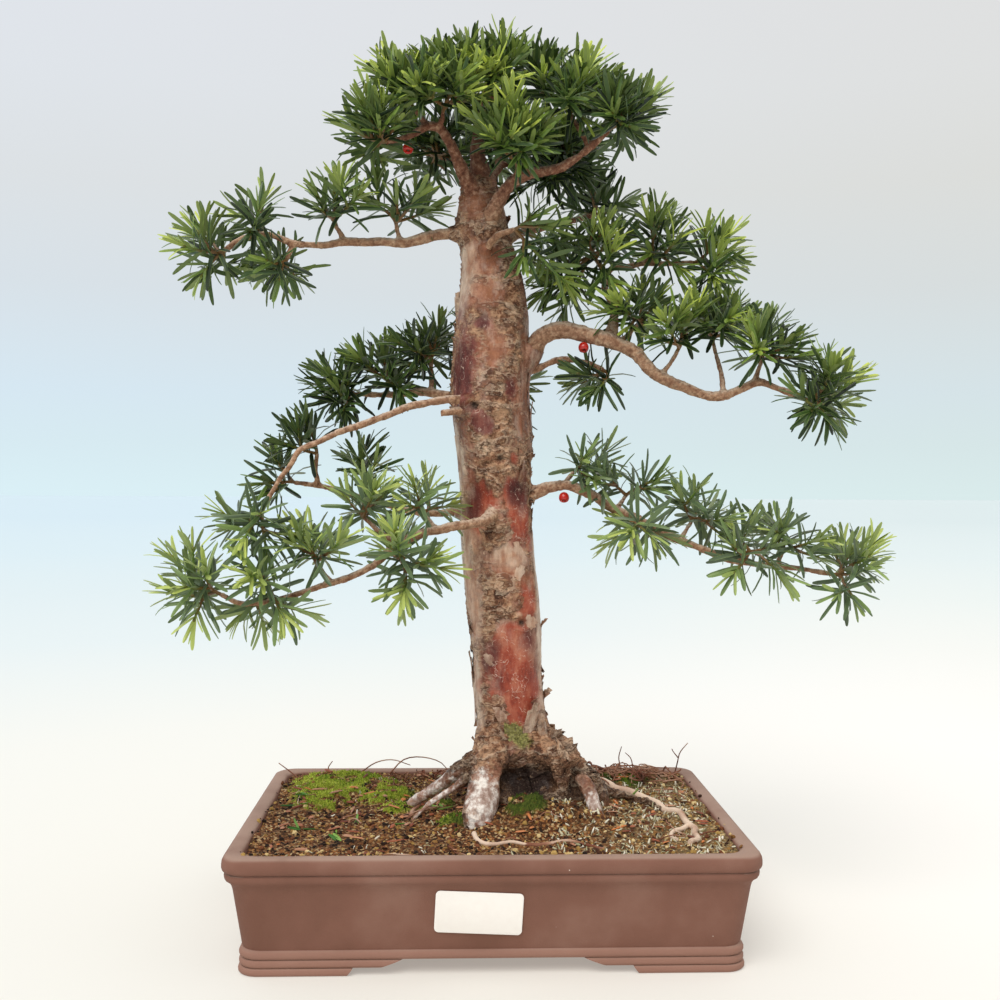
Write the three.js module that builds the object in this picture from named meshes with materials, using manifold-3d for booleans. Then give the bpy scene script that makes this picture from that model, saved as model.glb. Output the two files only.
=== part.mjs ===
// A Japanese yew grown as a bonsai in a rectangular clay pot. Millimetres, +Z up, front of the pot towards -Y.
// The group's origin is at the middle of the whole model's box, on the surface that the pot's feet stand on.
import * as THREE from "three";
import { mergeVertices } from "three/addons/utils/BufferGeometryUtils.js";
import Module from "manifold-3d";

const wasm = await Module();
wasm.setup();

// Clearance between pieces that touch
const GAP = 0.3;

// Pot: outer rim, corner radius and the heights of its mouldings, read upwards from the feet
const POT_LENGTH = 310;
const POT_DEPTH = 225;
const POT_HEIGHT = 69;
const POT_CORNER = 14;
const POT_CORNER_STEPS = 3;
const RIM_WIDTH = 11.5;
const WALL = 9;
const FLOOR_UNDER = 9;
const FLOOR_TOP = 20;
// Each row: how far the outline is set in from the rim, and its height
const POT_OUTER = [
  [9.9, FLOOR_UNDER],
  [9.0, 10.2],
  [9.0, 12.8],
  [10.4, 14],
  [5.2, 52],
  [1.6, 55],
  [1.3, 58.8],
  [0, 60.6],
  [0, 67],
  [2.4, POT_HEIGHT],
];
const POT_INNER = [
  [RIM_WIDTH - 2, POT_HEIGHT],
  [RIM_WIDTH, POT_HEIGHT - 1.5],
  [WALL + 10.4, FLOOR_TOP + 2],
  [WALL + 13, FLOOR_TOP],
];
// Feet in two stepped layers: lowest and highest height, inset, and reach from the corner along X and Y
const FOOT_LAYERS = [
  { low: 4.5, high: FLOOR_UNDER + 0.5, inset: 9.5, reachX: 97, reachY: 68 },
  { low: 0, high: 4.5, inset: 8.6, reachX: 67, reachY: 48 },
];
const FOOT_WIDTH = 17;

const DRAIN_RADIUS = 10;
const DRAIN_SPACING = 140;
const SCREEN_SIDE = 36;
const SCREEN_THICK = 1.2;
const SCREEN_HOLES = 2;
const SCREEN_BAR = 3;

const SOIL_EDGE = 66.2;
const SOIL_MOUND = 15.5;
const SOIL_MOUND_SPREAD = 62;
const SOIL_RINGS = 6;
const SOIL_LUMP = 1.3;

// Sticker on the pot's front wall, bare, a little turned
const LABEL_WIDTH = 50;
const LABEL_HEIGHT = 25;
const LABEL_THICK = 0.7;
const LABEL_CORNER = 2.5;
const LABEL_X = -8.6;
const LABEL_Z = 36.5;
const LABEL_TURN = -0.048;

// Trunk: each row is height, middle X and radius
const TRUNK_SIDES = 14;
const TRUNK = [
  [60, 27, 38],
  [74, 27, 39],
  [88, 26, 35],
  [100, 23, 30],
  [113, 18, 25.5],
  [127, 14, 22.8],
  [152, 11.5, 22.4],
  [190, 10, 23.6],
  [230, 7, 24],
  [270, 4, 23.2],
  [303, 2, 24.3],
  [336, 0, 25],
  [378, 0, 24],
  [405, 0, 22],
  [426, -1, 18.8],
  [452, -1, 18.2],
  [474, -1, 19.4],
  [487, -2, 16.5],
  [496, -3, 8],
];
const TRUNK_RIBS = 0.035;
const BUTTRESS = 0.14;
const BUTTRESS_TOP = 122;

// Roots: radius where they leave the trunk, radius at the tip, and their line
const ROOTS = [
  {
    from: 14,
    to: 9,
    line: [
      [5, -8, 118], [2, -20, 107], [-0.5, -28, 98], [-4, -35, 90],
      [-7, -41, 81], [-8.5, -46, 71], [-9, -48, 60],
    ],
  },
  {
    from: 9,
    to: 3.4,
    line: [[0, -8, 106], [-16, -12, 98], [-26, -10, 90], [-36, -6, 82], [-46, -2, 75], [-58, 2, 66]],
  },
  {
    from: 5,
    to: 2,
    line: [[0, -16, 98], [-13, -20, 93], [-23, -24, 87], [-32, -26, 82], [-40, -28, 77], [-52, -32, 66]],
  },
  {
    from: 14,
    to: 6,
    line: [[24, 0, 116], [40, -2, 107], [51, -4, 98], [60, -6, 90], [68, -9, 80], [73, -10, 64]],
  },
  { from: 13, to: 6, line: [[26, -6, 112], [36, -18, 107], [41, -26, 98], [43, -29, 86], [43, -30, 62]] },
  { from: 13, to: 4, line: [[20, 6, 108], [12, 30, 90], [4, 50, 77], [-2, 64, 64]] },
  { from: 12, to: 3.6, line: [[28, 6, 106], [50, 24, 88], [66, 38, 76], [76, 46, 64]] },
  { from: 9, to: 3, line: [[8, 6, 100], [-16, 18, 86], [-36, 26, 76], [-50, 32, 64]] },
  {
    from: 2.6,
    to: 1.5,
    line: [[62, -6, 86], [78, -2, 79], [92, 0, 75], [106, -5, 71], [118, -14, 68], [122, -24, 64]],
  },
];

// Branches: radius at the root and at the end, then the line that each one follows, in the order that they grow
// in: a spray's twig leaves the branch whose key its list has.
const BRANCHES = {
  left_top: {
    from: 5,
    to: 1.9,
    line: [
      [0, 0, 450], [-19, -2, 444], [-34, -4, 443], [-56, -10, 436], [-91, -14, 435], [-110, -18, 431],
      [-124, -20, 432], [-141, -22, 437], [-157, -25, 434], [-168, -27, 426],
    ],
  },
  crown_left: {
    from: 6,
    to: 1.9,
    line: [
      [-4, 0, 466], [-19, -10, 486], [-30, -18, 501], [-37, -22, 507], [-45, -26, 503], [-56, -32, 496],
      [-66, -36, 493],
    ],
  },
  crown_top: { from: 8, to: 2, line: [[-5, 0, 470], [-9, -2, 496], [-7, 0, 518], [-3, -10, 545]] },
  crown_right: {
    from: 6.5,
    to: 2.2,
    line: [[-2, -4, 466], [11, -22, 474], [29, -30, 476], [45, -34, 481], [58, -37, 490], [70, -40, 500]],
  },
  crown_back: { from: 6, to: 2.2, line: [[-4, 0, 468], [0, 26, 486], [6, 44, 502], [4, 62, 524]] },
  right_main: {
    from: 8,
    to: 2.2,
    line: [
      [4, 2, 356], [25, -1, 366], [32, -4, 376], [44, -8, 381], [60, -12, 378], [73, -16, 374],
      [89, -18, 367], [101, -20, 355], [121, -20, 345], [137, -20, 339], [149, -22, 339], [160, -24, 343],
      [170, -28, 346], [180, -32, 342], [194, -37, 336],
    ],
  },
  right_up: {
    from: 3.6,
    to: 1.9,
    line: [[76, -14, 372], [80, 0, 394], [75, 8, 410], [79, 17, 424], [101, 25, 431], [122, 29, 432], [137, 30, 433]],
  },
  right_small: { from: 3, to: 1.9, line: [[4, 4, 436], [24, 6, 440], [37, 6, 430]] },
  right_behind: { from: 4.5, to: 2, line: [[0, 6, 434], [22, 30, 452], [44, 50, 462], [71, 62, 471]] },
  right_stub: { from: 3.4, to: 2, line: [[4, 2, 352], [26, 1, 356], [45, 0, 362], [62, -2, 360], [72, -4, 356]] },
  right_low: {
    from: 5,
    to: 1.8,
    line: [
      [6, 2, 270], [28, 0, 275], [39, -4, 279], [51, -8, 280], [64, -10, 274], [84, -12, 263],
      [100, -14, 254], [122, -16, 245], [142, -16, 237], [168, -14, 230], [195, -12, 227], [222, -12, 223],
    ],
  },
  left_mid: {
    from: 3.6,
    to: 1.7,
    line: [
      [0, -8, 334], [-17, -22, 334], [-39, -30, 332], [-58, -36, 326], [-76, -42, 319], [-91, -46, 313],
      [-106, -50, 306], [-118, -52, 300], [-123, -54, 291], [-129, -56, 283], [-138, -60, 266],
    ],
  },
  left_back: { from: 5, to: 1.9, line: [[-4, 4, 336], [-22, 14, 338], [-42, 26, 342], [-64, 34, 341], [-90, 39, 342]] },
  left_back_low: {
    from: 4,
    to: 1.8,
    line: [
      [2, 4, 262], [-19, 6, 262], [-35, 10, 261], [-60, 16, 264], [-94, 20, 274], [-110, 22, 278],
      [-130, 24, 281],
    ],
  },
  left_low: {
    from: 4,
    to: 1.8,
    line: [
      [4, -14, 264], [-8, -34, 256], [-29, -40, 253], [-48, -44, 249], [-63, -46, 239], [-75, -50, 230],
      [-87, -52, 224], [-99, -56, 220], [-116, -60, 214], [-134, -62, 209], [-151, -64, 208], [-162, -64, 213],
    ],
  },
  left_stub: { from: 3.4, to: 2.4, line: [[-6, -6, 328], [-17, -18, 327], [-31, -30, 325]] },
  back_mid: { from: 5.5, to: 2, line: [[2, 8, 352], [4, 36, 358], [-2, 58, 352], [8, 84, 350]] },
};

// Sprays: the fork where each one leaves its twig, then the end of each of its shoots
const SPRAYS = {
  left_top: [
    [[-168, -27, 426], [[-189, -42, 425], [-181, -32, 410], [-169, -12, 417], [-183, -18, 442]]],
    [[-147, -19, 444], [[-164, -10, 451], [-149, -48, 433], [-157, -4, 426]]],
    [[-130, -21, 423], [[-139, -40, 417], [-126, -2, 414], [-148, -6, 416]]],
    [[-100, -14, 444], [[-110, -26, 460], [-97, -6, 475], [-85, -34, 459]]],
    [[-62, -8, 447], [[-80, -10, 462], [-48, -16, 464], [-38, 8, 462]]],
  ],
  crown_left: [
    [[-66, -36, 493], [[-88, -44, 497], [-75, -60, 504], [-78, -14, 492], [-60, -68, 492]]],
    [[-50, -28, 516], [[-64, -46, 526], [-75, -18, 546], [-56, 6, 550], [-41, -62, 520]]],
    [[-32, -36, 510], [[-24, -80, 500], [-46, -76, 494], [-18, -64, 522]]],
  ],
  crown_top: [
    [[-24, -8, 540], [[-44, -26, 551], [-32, 6, 567], [-22, -46, 541]]],
    [[-3, -10, 545], [[-15, -20, 564], [3, -2, 572], [-2, -58, 534], [12, -36, 555]]],
    [[23, -8, 540], [[22, -12, 566], [42, 14, 566], [30, -52, 531], [55, -20, 558]]],
  ],
  crown_right: [
    [[49, -30, 512], [[52, -62, 520], [72, -24, 543], [92, -4, 538], [40, -82, 502]]],
    [[70, -40, 500], [[98, -36, 520], [88, -64, 500], [64, -84, 484], [86, -18, 502]]],
    [[16, -42, 488], [[4, -88, 494], [12, -92, 472], [30, -78, 484], [-10, -72, 486]]],
  ],
  crown_back: [
    [[4, 62, 524], [[-16, 84, 530], [8, 92, 512], [26, 84, 534], [2, 60, 556]]],
    [[-34, 44, 506], [[-60, 54, 512], [-44, 76, 500], [-62, 30, 522]]],
    [[44, 48, 508], [[70, 50, 522], [50, 82, 506]]],
  ],
  right_small: [
    [[37, 6, 430], [[19, -32, 442], [46, -26, 408], [60, 22, 444]]],
  ],
  right_up: [
    [[68, 10, 432], [[66, 4, 446], [92, 34, 450], [80, -14, 410]]],
    [[109, 24, 438], [[106, 16, 458], [127, 46, 449], [126, 6, 424]]],
    [[137, 30, 433], [[154, 18, 447], [168, 42, 438], [146, 0, 418]]],
  ],
  right_behind: [
    [[71, 62, 471], [[77, 64, 496], [100, 84, 486], [62, 92, 484]]],
  ],
  right_main: [
    [[96, 4, 386], [[102, 18, 410], [80, -26, 396], [118, 34, 398]]],
    [[119, -16, 366], [[107, -42, 382], [130, -28, 394]]],
    [[147, 0, 372], [[136, -2, 396], [160, 24, 402], [150, -32, 386], [170, 2, 390]]],
    [[172, -24, 359], [[162, -54, 364], [180, -8, 376], [192, -26, 372]]],
    [[194, -37, 336], [[194, -62, 326], [212, -46, 352], [232, -32, 350], [228, -12, 334]]],
  ],
  right_stub: [
    [[72, -4, 356], [[66, -26, 341], [58, 12, 348]]],
  ],
  right_low: [
    [[54, 2, 288], [[58, -22, 296], [76, 20, 292]]],
    [[88, 0, 272], [[74, -6, 288], [108, -10, 284]]],
    [[94, -28, 258], [[84, -52, 250], [76, -26, 244], [106, -16, 244]]],
    [[131, -6, 256], [[122, -18, 272], [140, 20, 264], [148, -26, 258]]],
    [[163, -23, 237], [[160, -2, 252], [152, -40, 226], [184, -36, 222]]],
    [[190, -12, 237], [[186, -22, 254], [188, 14, 256], [206, -34, 246]]],
    [[222, -12, 223], [[246, -20, 242], [238, 12, 240], [234, -22, 208], [252, 2, 226]]],
  ],
  left_mid: [
    [[-138, -60, 266], [[-147, -80, 246], [-135, -66, 238], [-158, -50, 254]]],
  ],
  left_back: [
    [[-40, 32, 362], [[-34, 24, 388], [-46, 58, 377], [-60, 16, 374]]],
    [[-70, 40, 350], [[-72, 48, 372], [-88, 26, 364], [-58, 10, 342]]],
    [[-90, 39, 342], [[-106, 24, 351], [-114, 54, 358], [-98, 18, 330]]],
  ],
  left_back_low: [
    [[-130, 24, 281], [[-150, 12, 280], [-142, 34, 297]]],
    [[-116, 21, 299], [[-134, 6, 306], [-122, 16, 320]]],
    [[-82, 19, 280], [[-76, 2, 292], [-94, 32, 297]]],
  ],
  left_low: [
    [[-162, -64, 213], [[-192, -60, 235], [-167, -88, 230], [-176, -74, 200], [-188, -38, 210]]],
    [[-134, -62, 216], [[-142, -90, 226], [-152, -52, 200], [-124, -78, 202]]],
    [[-106, -54, 230], [[-116, -64, 248], [-104, -26, 241], [-90, -74, 246]]],
    [[-79, -34, 258], [[-92, -34, 272], [-72, -54, 276], [-82, -2, 268]]],
    [[-57, -48, 234], [[-58, -86, 251], [-36, -70, 236], [-58, -24, 254], [-54, -68, 214]]],
    [[-42, -30, 260], [[-48, -44, 278], [-26, -14, 266]]],
  ],
  back_mid: [
    [[8, 84, 350], [[30, 98, 358], [10, 104, 336], [-14, 102, 356]]],
    [[-10, 62, 368], [[-34, 76, 376], [-14, 64, 394], [10, 50, 388]]],
  ],
};

// Twigs that carry the sprays
const TWIG_FROM = 2.1;
const TWIG_TO = 1.6;
const TWIG_SIDES = 3;
const TWIG_STEPS = 2;

// A shoot is three-sided, and each of its steps bears a needle on every second face
const SHOOT_ROOT = 0.9;
const MAIN_BEND = 0.36;
const SIDE_FIRST = 0.35;
const SIDE_NEXT = 0.25;
const SIDE_BEND = 0.06;
const SHOOT_RADIUS = 1.5;
const SHOOT_SIDES = 3;
const NEEDLE_STEP = 5.5;
const NEEDLE_LENGTH = 22;
const NEEDLE_BELLY = 1;
const NEEDLE_STEPS = 3;
const MOST_LEAFY = 0.72;
const SWEEP_FIRST = 1.2;
const SWEEP_LAST = 0.62;
const BUD_LENGTH = 9;
const SEED = 1849;

// Ripe fruits and one green seed: the stem that bears each, how far along it, and the way that it hangs
const FRUIT_RADIUS = 4;
const FRUITS = {
  berry_1: { stem: "right_main", share: 0.3, way: [0, -0.5, -1], ripe: true },
  berry_2: { stem: "right_low", share: 0.19, way: [0, -0.5, -1], ripe: true },
  berry_3: { stem: "crown_left", share: 0.85, way: [0, -0.1, -1], ripe: true },
  unripe_seed: { stem: "spray_right_low_3", share: 0.62, way: [0, 0.1, -1], ripe: false },
};

const vec = (p) => new THREE.Vector3(...p);

// Repeatable random numbers from 0 to 1
function makeRandom(seed) {
  let state = seed;
  return () => {
    state = (state * 16807) % 2147483647;
    return state / 2147483647;
  };
}

// A closed shell that is built up from points and faces
class Shell {
  constructor() {
    this.points = [];
    this.faces = [];
  }

  add(point) {
    this.points.push(point.x, point.y, point.z);
    return this.points.length / 3 - 1;
  }

  ring(points) {
    return points.map((p) => this.add(p));
  }

  face(a, b, c) {
    this.faces.push(a, b, c);
  }

  // Joins two rings with the same number of points
  band(low, high) {
    const n = low.length;
    for (let i = 0; i < n; i += 1) {
      const j = (i + 1) % n;
      this.face(low[i], low[j], high[j]);
      this.face(low[i], high[j], high[i]);
    }
  }

  capLow(ring) {
    for (let i = 1; i < ring.length - 1; i += 1) this.face(ring[0], ring[i + 1], ring[i]);
  }

  capHigh(ring) {
    for (let i = 1; i < ring.length - 1; i += 1) this.face(ring[0], ring[i], ring[i + 1]);
  }

  solid() {
    return new wasm.Manifold(
      new wasm.Mesh({
        numProp: 3,
        vertProperties: new Float32Array(this.points),
        triVerts: new Uint32Array(this.faces),
      }),
    );
  }
}

function solidOf(geometry) {
  const plain = geometry.clone();
  plain.deleteAttribute("normal");
  plain.deleteAttribute("uv");
  const merged = mergeVertices(plain, 1e-4);
  return new wasm.Manifold(
    new wasm.Mesh({
      numProp: 3,
      vertProperties: merged.attributes.position.array,
      triVerts: new Uint32Array(merged.index.array),
    }),
  );
}

function geometryOf(solid) {
  const mesh = solid.getMesh();
  const geometry = new THREE.BufferGeometry();
  geometry.setAttribute("position", new THREE.BufferAttribute(new Float32Array(mesh.vertProperties), 3));
  geometry.setIndex(new THREE.BufferAttribute(new Uint32Array(mesh.triVerts), 1));
  return geometry;
}

const fuse = (solids) => solids.reduce((whole, next) => whole.add(next));

// Points of a rounded rectangle, set in from the rim's outline, at a height
function roundedRing(inset, z, steps = POT_CORNER_STEPS, scale = 1) {
  const halfX = POT_LENGTH / 2 - inset;
  const halfY = POT_DEPTH / 2 - inset;
  const radius = Math.max(POT_CORNER - inset * 0.45, 4);
  const ring = [];
  for (let corner = 0; corner < 4; corner += 1) {
    const cx = (corner === 0 || corner === 3 ? 1 : -1) * (halfX - radius);
    const cy = (corner < 2 ? 1 : -1) * (halfY - radius);
    for (let i = 0; i <= steps; i += 1) {
      const a = (corner + i / steps) * (Math.PI / 2);
      ring.push(new THREE.Vector3((cx + radius * Math.cos(a)) * scale, (cy + radius * Math.sin(a)) * scale, z));
    }
  }
  return ring;
}

function loft(rings) {
  const shell = new Shell();
  const made = rings.map((points) => shell.ring(points));
  shell.capLow(made[0]);
  for (let i = 1; i < made.length; i += 1) shell.band(made[i - 1], made[i]);
  shell.capHigh(made[made.length - 1]);
  return shell.solid();
}

function block(x0, x1, y0, y1, z0, z1) {
  const box = new THREE.BoxGeometry(x1 - x0, y1 - y0, z1 - z0);
  box.translate((x0 + x1) / 2, (y0 + y1) / 2, (z0 + z1) / 2);
  return solidOf(box);
}

const taper = (from, to, t) => from + (to - from) * t ** 0.8;

// A round bar along a line, with a radius that narrows towards its end, and flat ends
function taperedBar(line, from, to, sides, steps, grow = 0) {
  const curve = new THREE.CatmullRomCurve3(line.map(vec), false, "centripetal");
  const frames = curve.computeFrenetFrames(steps, false);
  const rings = [];
  for (let i = 0; i <= steps; i += 1) {
    const t = i / steps;
    const middle = curve.getPointAt(t);
    if (i === steps) middle.addScaledVector(frames.tangents[i], grow);
    const radius = taper(from, to, t) + grow;
    const ring = [];
    for (let k = 0; k < sides; k += 1) {
      const a = (k / sides) * Math.PI * 2;
      ring.push(
        middle
          .clone()
          .addScaledVector(frames.normals[i], radius * Math.cos(a))
          .addScaledVector(frames.binormals[i], radius * Math.sin(a)),
      );
    }
    rings.push(ring);
  }
  return loft(rings);
}

function makePot() {
  const rings = POT_OUTER.map(([inset, z]) => roundedRing(inset, z));
  POT_INNER.forEach(([inset, z]) => rings.push(roundedRing(inset, z)));
  let pot = loft(rings);
  for (const { low, high, inset, reachX, reachY } of FOOT_LAYERS) {
    const outer = loft([roundedRing(inset, low), roundedRing(inset, high)]);
    const inner = loft([roundedRing(inset + FOOT_WIDTH, low - 1), roundedRing(inset + FOOT_WIDTH, high + 1)]);
    const gapX = POT_LENGTH / 2 - inset - reachX;
    const gapY = POT_DEPTH / 2 - inset - reachY;
    const layer = outer
      .subtract(inner)
      .subtract(block(-gapX, gapX, -POT_DEPTH, POT_DEPTH, low - 1, high + 1))
      .subtract(block(-POT_LENGTH, POT_LENGTH, -gapY, gapY, low - 1, high + 1));
    pot = pot.add(layer);
  }
  for (const side of [-1, 1]) {
    const hole = new THREE.CylinderGeometry(DRAIN_RADIUS, DRAIN_RADIUS, POT_HEIGHT, 12);
    hole.rotateX(Math.PI / 2);
    hole.translate((side * DRAIN_SPACING) / 2, 0, 0);
    pot = pot.subtract(solidOf(hole));
  }
  return pot;
}

// A square screen over a drain hole
function makeDrainScreen(x) {
  const half = SCREEN_SIDE / 2;
  const low = FLOOR_TOP + GAP;
  let screen = block(x - half, x + half, -half, half, low, low + SCREEN_THICK);
  const pitch = (SCREEN_SIDE - SCREEN_BAR) / SCREEN_HOLES;
  for (let i = 0; i < SCREEN_HOLES; i += 1) {
    for (let j = 0; j < SCREEN_HOLES; j += 1) {
      const x0 = x - half + SCREEN_BAR + i * pitch;
      const y0 = -half + SCREEN_BAR + j * pitch;
      const size = pitch - SCREEN_BAR;
      screen = screen.subtract(block(x0, x0 + size, y0, y0 + size, low - 1, low + SCREEN_THICK + 1));
    }
  }
  return screen;
}

function soilHeight(x, y) {
  const away = Math.hypot(x - TRUNK[0][1], y * 1.15);
  const mound = SOIL_MOUND * Math.exp(-((away / SOIL_MOUND_SPREAD) ** 2));
  const lumps = SOIL_LUMP * (Math.sin(x * 0.083 + 1) * Math.cos(y * 0.11) + 0.5 * Math.sin(x * 0.19 - y * 0.15));
  return SOIL_EDGE + mound + lumps;
}

// The soil fills the pot, over the screens, and has a plain hole for the roots
function makeSoil(rootHole, screens) {
  const screenTop = FLOOR_TOP + GAP + SCREEN_THICK;
  const rings = [
    roundedRing(WALL + 13 + GAP, FLOOR_TOP + GAP),
    roundedRing(WALL + 10.4 + 1.5 * GAP, FLOOR_TOP + 2 + GAP),
  ];
  for (let i = SOIL_RINGS; i > 0; i -= 1) {
    const ring = roundedRing(RIM_WIDTH + 2.5 * GAP, 0, POT_CORNER_STEPS, i / SOIL_RINGS);
    ring.forEach((p) => p.setZ(soilHeight(p.x, p.y)));
    rings.push(ring);
  }
  let soil = loft(rings);
  const reach = SCREEN_SIDE / 2 + GAP;
  screens.forEach((x) => {
    soil = soil.subtract(block(x - reach, x + reach, -reach, reach, 0, screenTop + GAP));
  });
  return soil.subtract(rootHole);
}

function makeLabel() {
  const shape = new THREE.Shape();
  const w = LABEL_WIDTH / 2 - LABEL_CORNER;
  const h = LABEL_HEIGHT / 2 - LABEL_CORNER;
  shape.absarc(w, h, LABEL_CORNER, 0, Math.PI / 2);
  shape.absarc(-w, h, LABEL_CORNER, Math.PI / 2, Math.PI);
  shape.absarc(-w, -h, LABEL_CORNER, Math.PI, 1.5 * Math.PI);
  shape.absarc(w, -h, LABEL_CORNER, 1.5 * Math.PI, 2 * Math.PI);
  const plate = new THREE.ExtrudeGeometry(shape, { depth: LABEL_THICK, bevelEnabled: false, curveSegments: 1 });
  const low = POT_OUTER[3];
  const high = POT_OUTER[4];
  const lean = Math.atan2(low[0] - high[0], high[1] - low[1]);
  const inset = low[0] + ((high[0] - low[0]) * (LABEL_Z - low[1])) / (high[1] - low[1]);
  plate.rotateZ(LABEL_TURN);
  plate.translate(0, 0, GAP);
  plate.rotateX(Math.PI / 2 + lean);
  plate.translate(LABEL_X, -(POT_DEPTH / 2 - inset), LABEL_Z);
  return plate;
}

// The trunk's outline is lobed by shallow ribs, and by buttresses over the roots
function makeTrunk(grow = 0) {
  const rings = TRUNK.map(([z, x, radius]) => {
    const low = THREE.MathUtils.clamp((BUTTRESS_TOP - z) / (BUTTRESS_TOP - TRUNK[0][0]), 0, 1);
    const ring = [];
    for (let k = 0; k < TRUNK_SIDES; k += 1) {
      const a = (k / TRUNK_SIDES) * Math.PI * 2;
      const ribs = TRUNK_RIBS * Math.sin(3 * a + z * 0.021) + TRUNK_RIBS * 0.6 * Math.sin(5 * a - z * 0.034);
      const lobes = BUTTRESS * low * Math.cos(5 * a + 0.9);
      const r = radius * (1 + ribs + lobes) + grow;
      ring.push(new THREE.Vector3(x + r * Math.cos(a), r * Math.sin(a), z));
    }
    return ring;
  });
  rings[0].forEach((p) => p.setZ(p.z - grow));
  return loft(rings);
}

function makeRoots(grow = 0) {
  return ROOTS.map(({ from, to, line }) => taperedBar(line, from, to, from > 5 ? 6 : 4, line.length - 1, grow));
}

// Where a twig leaves its branch: the nearest place to the fork, then a little back towards the trunk. A spray at
// the branch's own end needs no twig.
function twigLine(branch, fork) {
  if (fork.distanceTo(vec(branch.line[branch.line.length - 1])) < GAP) return null;
  const curve = new THREE.CatmullRomCurve3(branch.line.map(vec), false, "centripetal");
  const steps = 60;
  let best = 0;
  let nearest = Infinity;
  for (let i = 0; i <= steps; i += 1) {
    const away = curve.getPointAt(i / steps).distanceTo(fork);
    if (away < nearest) {
      nearest = away;
      best = i / steps;
    }
  }
  const back = Math.min((0.2 * nearest) / curve.getLength(), best);
  const t = best - back;
  const start = curve.getPointAt(t);
  const along = curve.getTangentAt(t);
  const reach = start.distanceTo(fork);
  const bend = start.clone().lerp(fork, 0.5).addScaledVector(along, 0.05 * reach);
  return new THREE.QuadraticBezierCurve3(start, bend, fork);
}

function barOnCurve(curve, from, to, sides, steps) {
  const line = [];
  for (let i = 0; i <= steps; i += 1) line.push(curve.getPoint(i / steps).toArray());
  return taperedBar(line, from, to, sides, steps);
}

function makePlan() {
  const plan = [];
  for (const [key, list] of Object.entries(SPRAYS)) {
    list.forEach(([fork, tips], index) => {
      const end = vec(fork);
      const { line } = BRANCHES[key];
      const twig = twigLine(BRANCHES[key], end);
      const heading = twig ? twig.getTangent(1) : end.clone().sub(vec(line[line.length - 2]));
      heading.normalize();
      plan.push({ name: `spray_${key}_${index + 1}`, twig, lines: shootLines(end, heading, tips.map(vec)) });
    });
  }
  return plan;
}

// The share of a shoot's length, from its root, that bears no needles
function bareShare(curve) {
  const length = curve.getLength();
  return 1 - Math.min(NEEDLE_STEP * NEEDLE_STEPS, length * MOST_LEAFY) / length;
}

// The lines of a spray's shoots. The one most in line with the twig goes on from it, and the others leave that
// one in turn.
function shootLines(fork, heading, tips) {
  const inLine = (tip) => tip.clone().sub(fork).normalize().dot(heading);
  const [mainTip, ...sideTips] = tips.sort((p, q) => inLine(q) - inLine(p));
  const start = fork.clone().addScaledVector(heading, 1.5 * GAP);
  const bend = start.clone().addScaledVector(heading, MAIN_BEND * start.distanceTo(mainTip));
  const main = new THREE.QuadraticBezierCurve3(start, bend, mainTip);
  const joint = main.getPointAt(0.5 * bareShare(main));
  const sides = sideTips.map((tip, i) => {
    const from = start.clone().lerp(joint, SIDE_FIRST + SIDE_NEXT * i);
    const middle = from.clone().lerp(tip, 0.45).addScaledVector(heading, SIDE_BEND * from.distanceTo(tip));
    return new THREE.QuadraticBezierCurve3(from, middle, tip);
  });
  return [main, ...sides];
}

// Shortest distance between two straight stretches, with where it lies on each
function nearestOf(p, q) {
  const d1 = p.end.clone().sub(p.start);
  const d2 = q.end.clone().sub(q.start);
  const r = p.start.clone().sub(q.start);
  const a = d1.lengthSq();
  const e = d2.lengthSq();
  const f = d2.dot(r);
  const c = d1.dot(r);
  const b = d1.dot(d2);
  const flat = a * e - b * b;
  const clamp = THREE.MathUtils.clamp;
  let s = flat > 1e-9 ? clamp((b * f - c * e) / flat, 0, 1) : 0;
  const t = clamp((b * s + f) / e, 0, 1);
  s = clamp((b * t - c) / a, 0, 1);
  const away = p.start.clone().addScaledVector(d1, s).distanceTo(q.start.clone().addScaledVector(d2, t));
  return { away, s, t };
}

// Thickness of a stretch at a share of its length: a needle's narrows past its belly
function reachAt(stretch, share) {
  if (!stretch.needle) return stretch.from + (stretch.to - stretch.from) * share;
  const full = SHOOT_RADIUS + 0.1;
  return share < 0.6 ? full : full - (share - 0.6) * 3.1;
}

function isFree(needle, others) {
  return others.every((other) => {
    if (other.shoot === needle.shoot) return true;
    if (other.middle.distanceTo(needle.middle) > other.half + needle.half + 4) return true;
    const { away, s, t } = nearestOf(needle, other);
    return away > reachAt(needle, s) + reachAt(other, t) + 2 * GAP;
  });
}

function stretch(start, end, from, to, extra) {
  const middle = start.clone().lerp(end, 0.5);
  return { start, end, from, to, middle, half: start.distanceTo(end) / 2, ...extra };
}

function stretchesOf(curve, from, to, steps, extra) {
  const list = [];
  for (let i = 0; i < steps; i += 1) {
    const r0 = from + ((to - from) * i) / steps;
    const r1 = from + ((to - from) * (i + 1)) / steps;
    list.push(stretch(curve.getPoint(i / steps), curve.getPoint((i + 1) / steps), r0, r1, extra));
  }
  return list;
}

// Tries a needle's own direction first, then turns it a little at a time until it is clear of the rest
function placeNeedle(root, axis, outward, sweep, length, shoot, taken) {
  const turns = [0, 0.25, -0.25, 0.5, -0.5];
  const sweeps = [0, -0.25, 0.25];
  for (const size of [1, 0.75]) {
    for (const more of sweeps) {
      for (const turn of turns) {
        const side = outward.clone().applyAxisAngle(axis, turn);
        const angle = sweep + more;
        const way = axis.clone().multiplyScalar(Math.cos(angle)).addScaledVector(side, Math.sin(angle));
        const end = root.clone().addScaledVector(way, length * size);
        const needle = stretch(root, end, 0, 0, { needle: true, shoot });
        if (isFree(needle, taken)) return needle;
      }
    }
  }
  return null;
}

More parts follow.
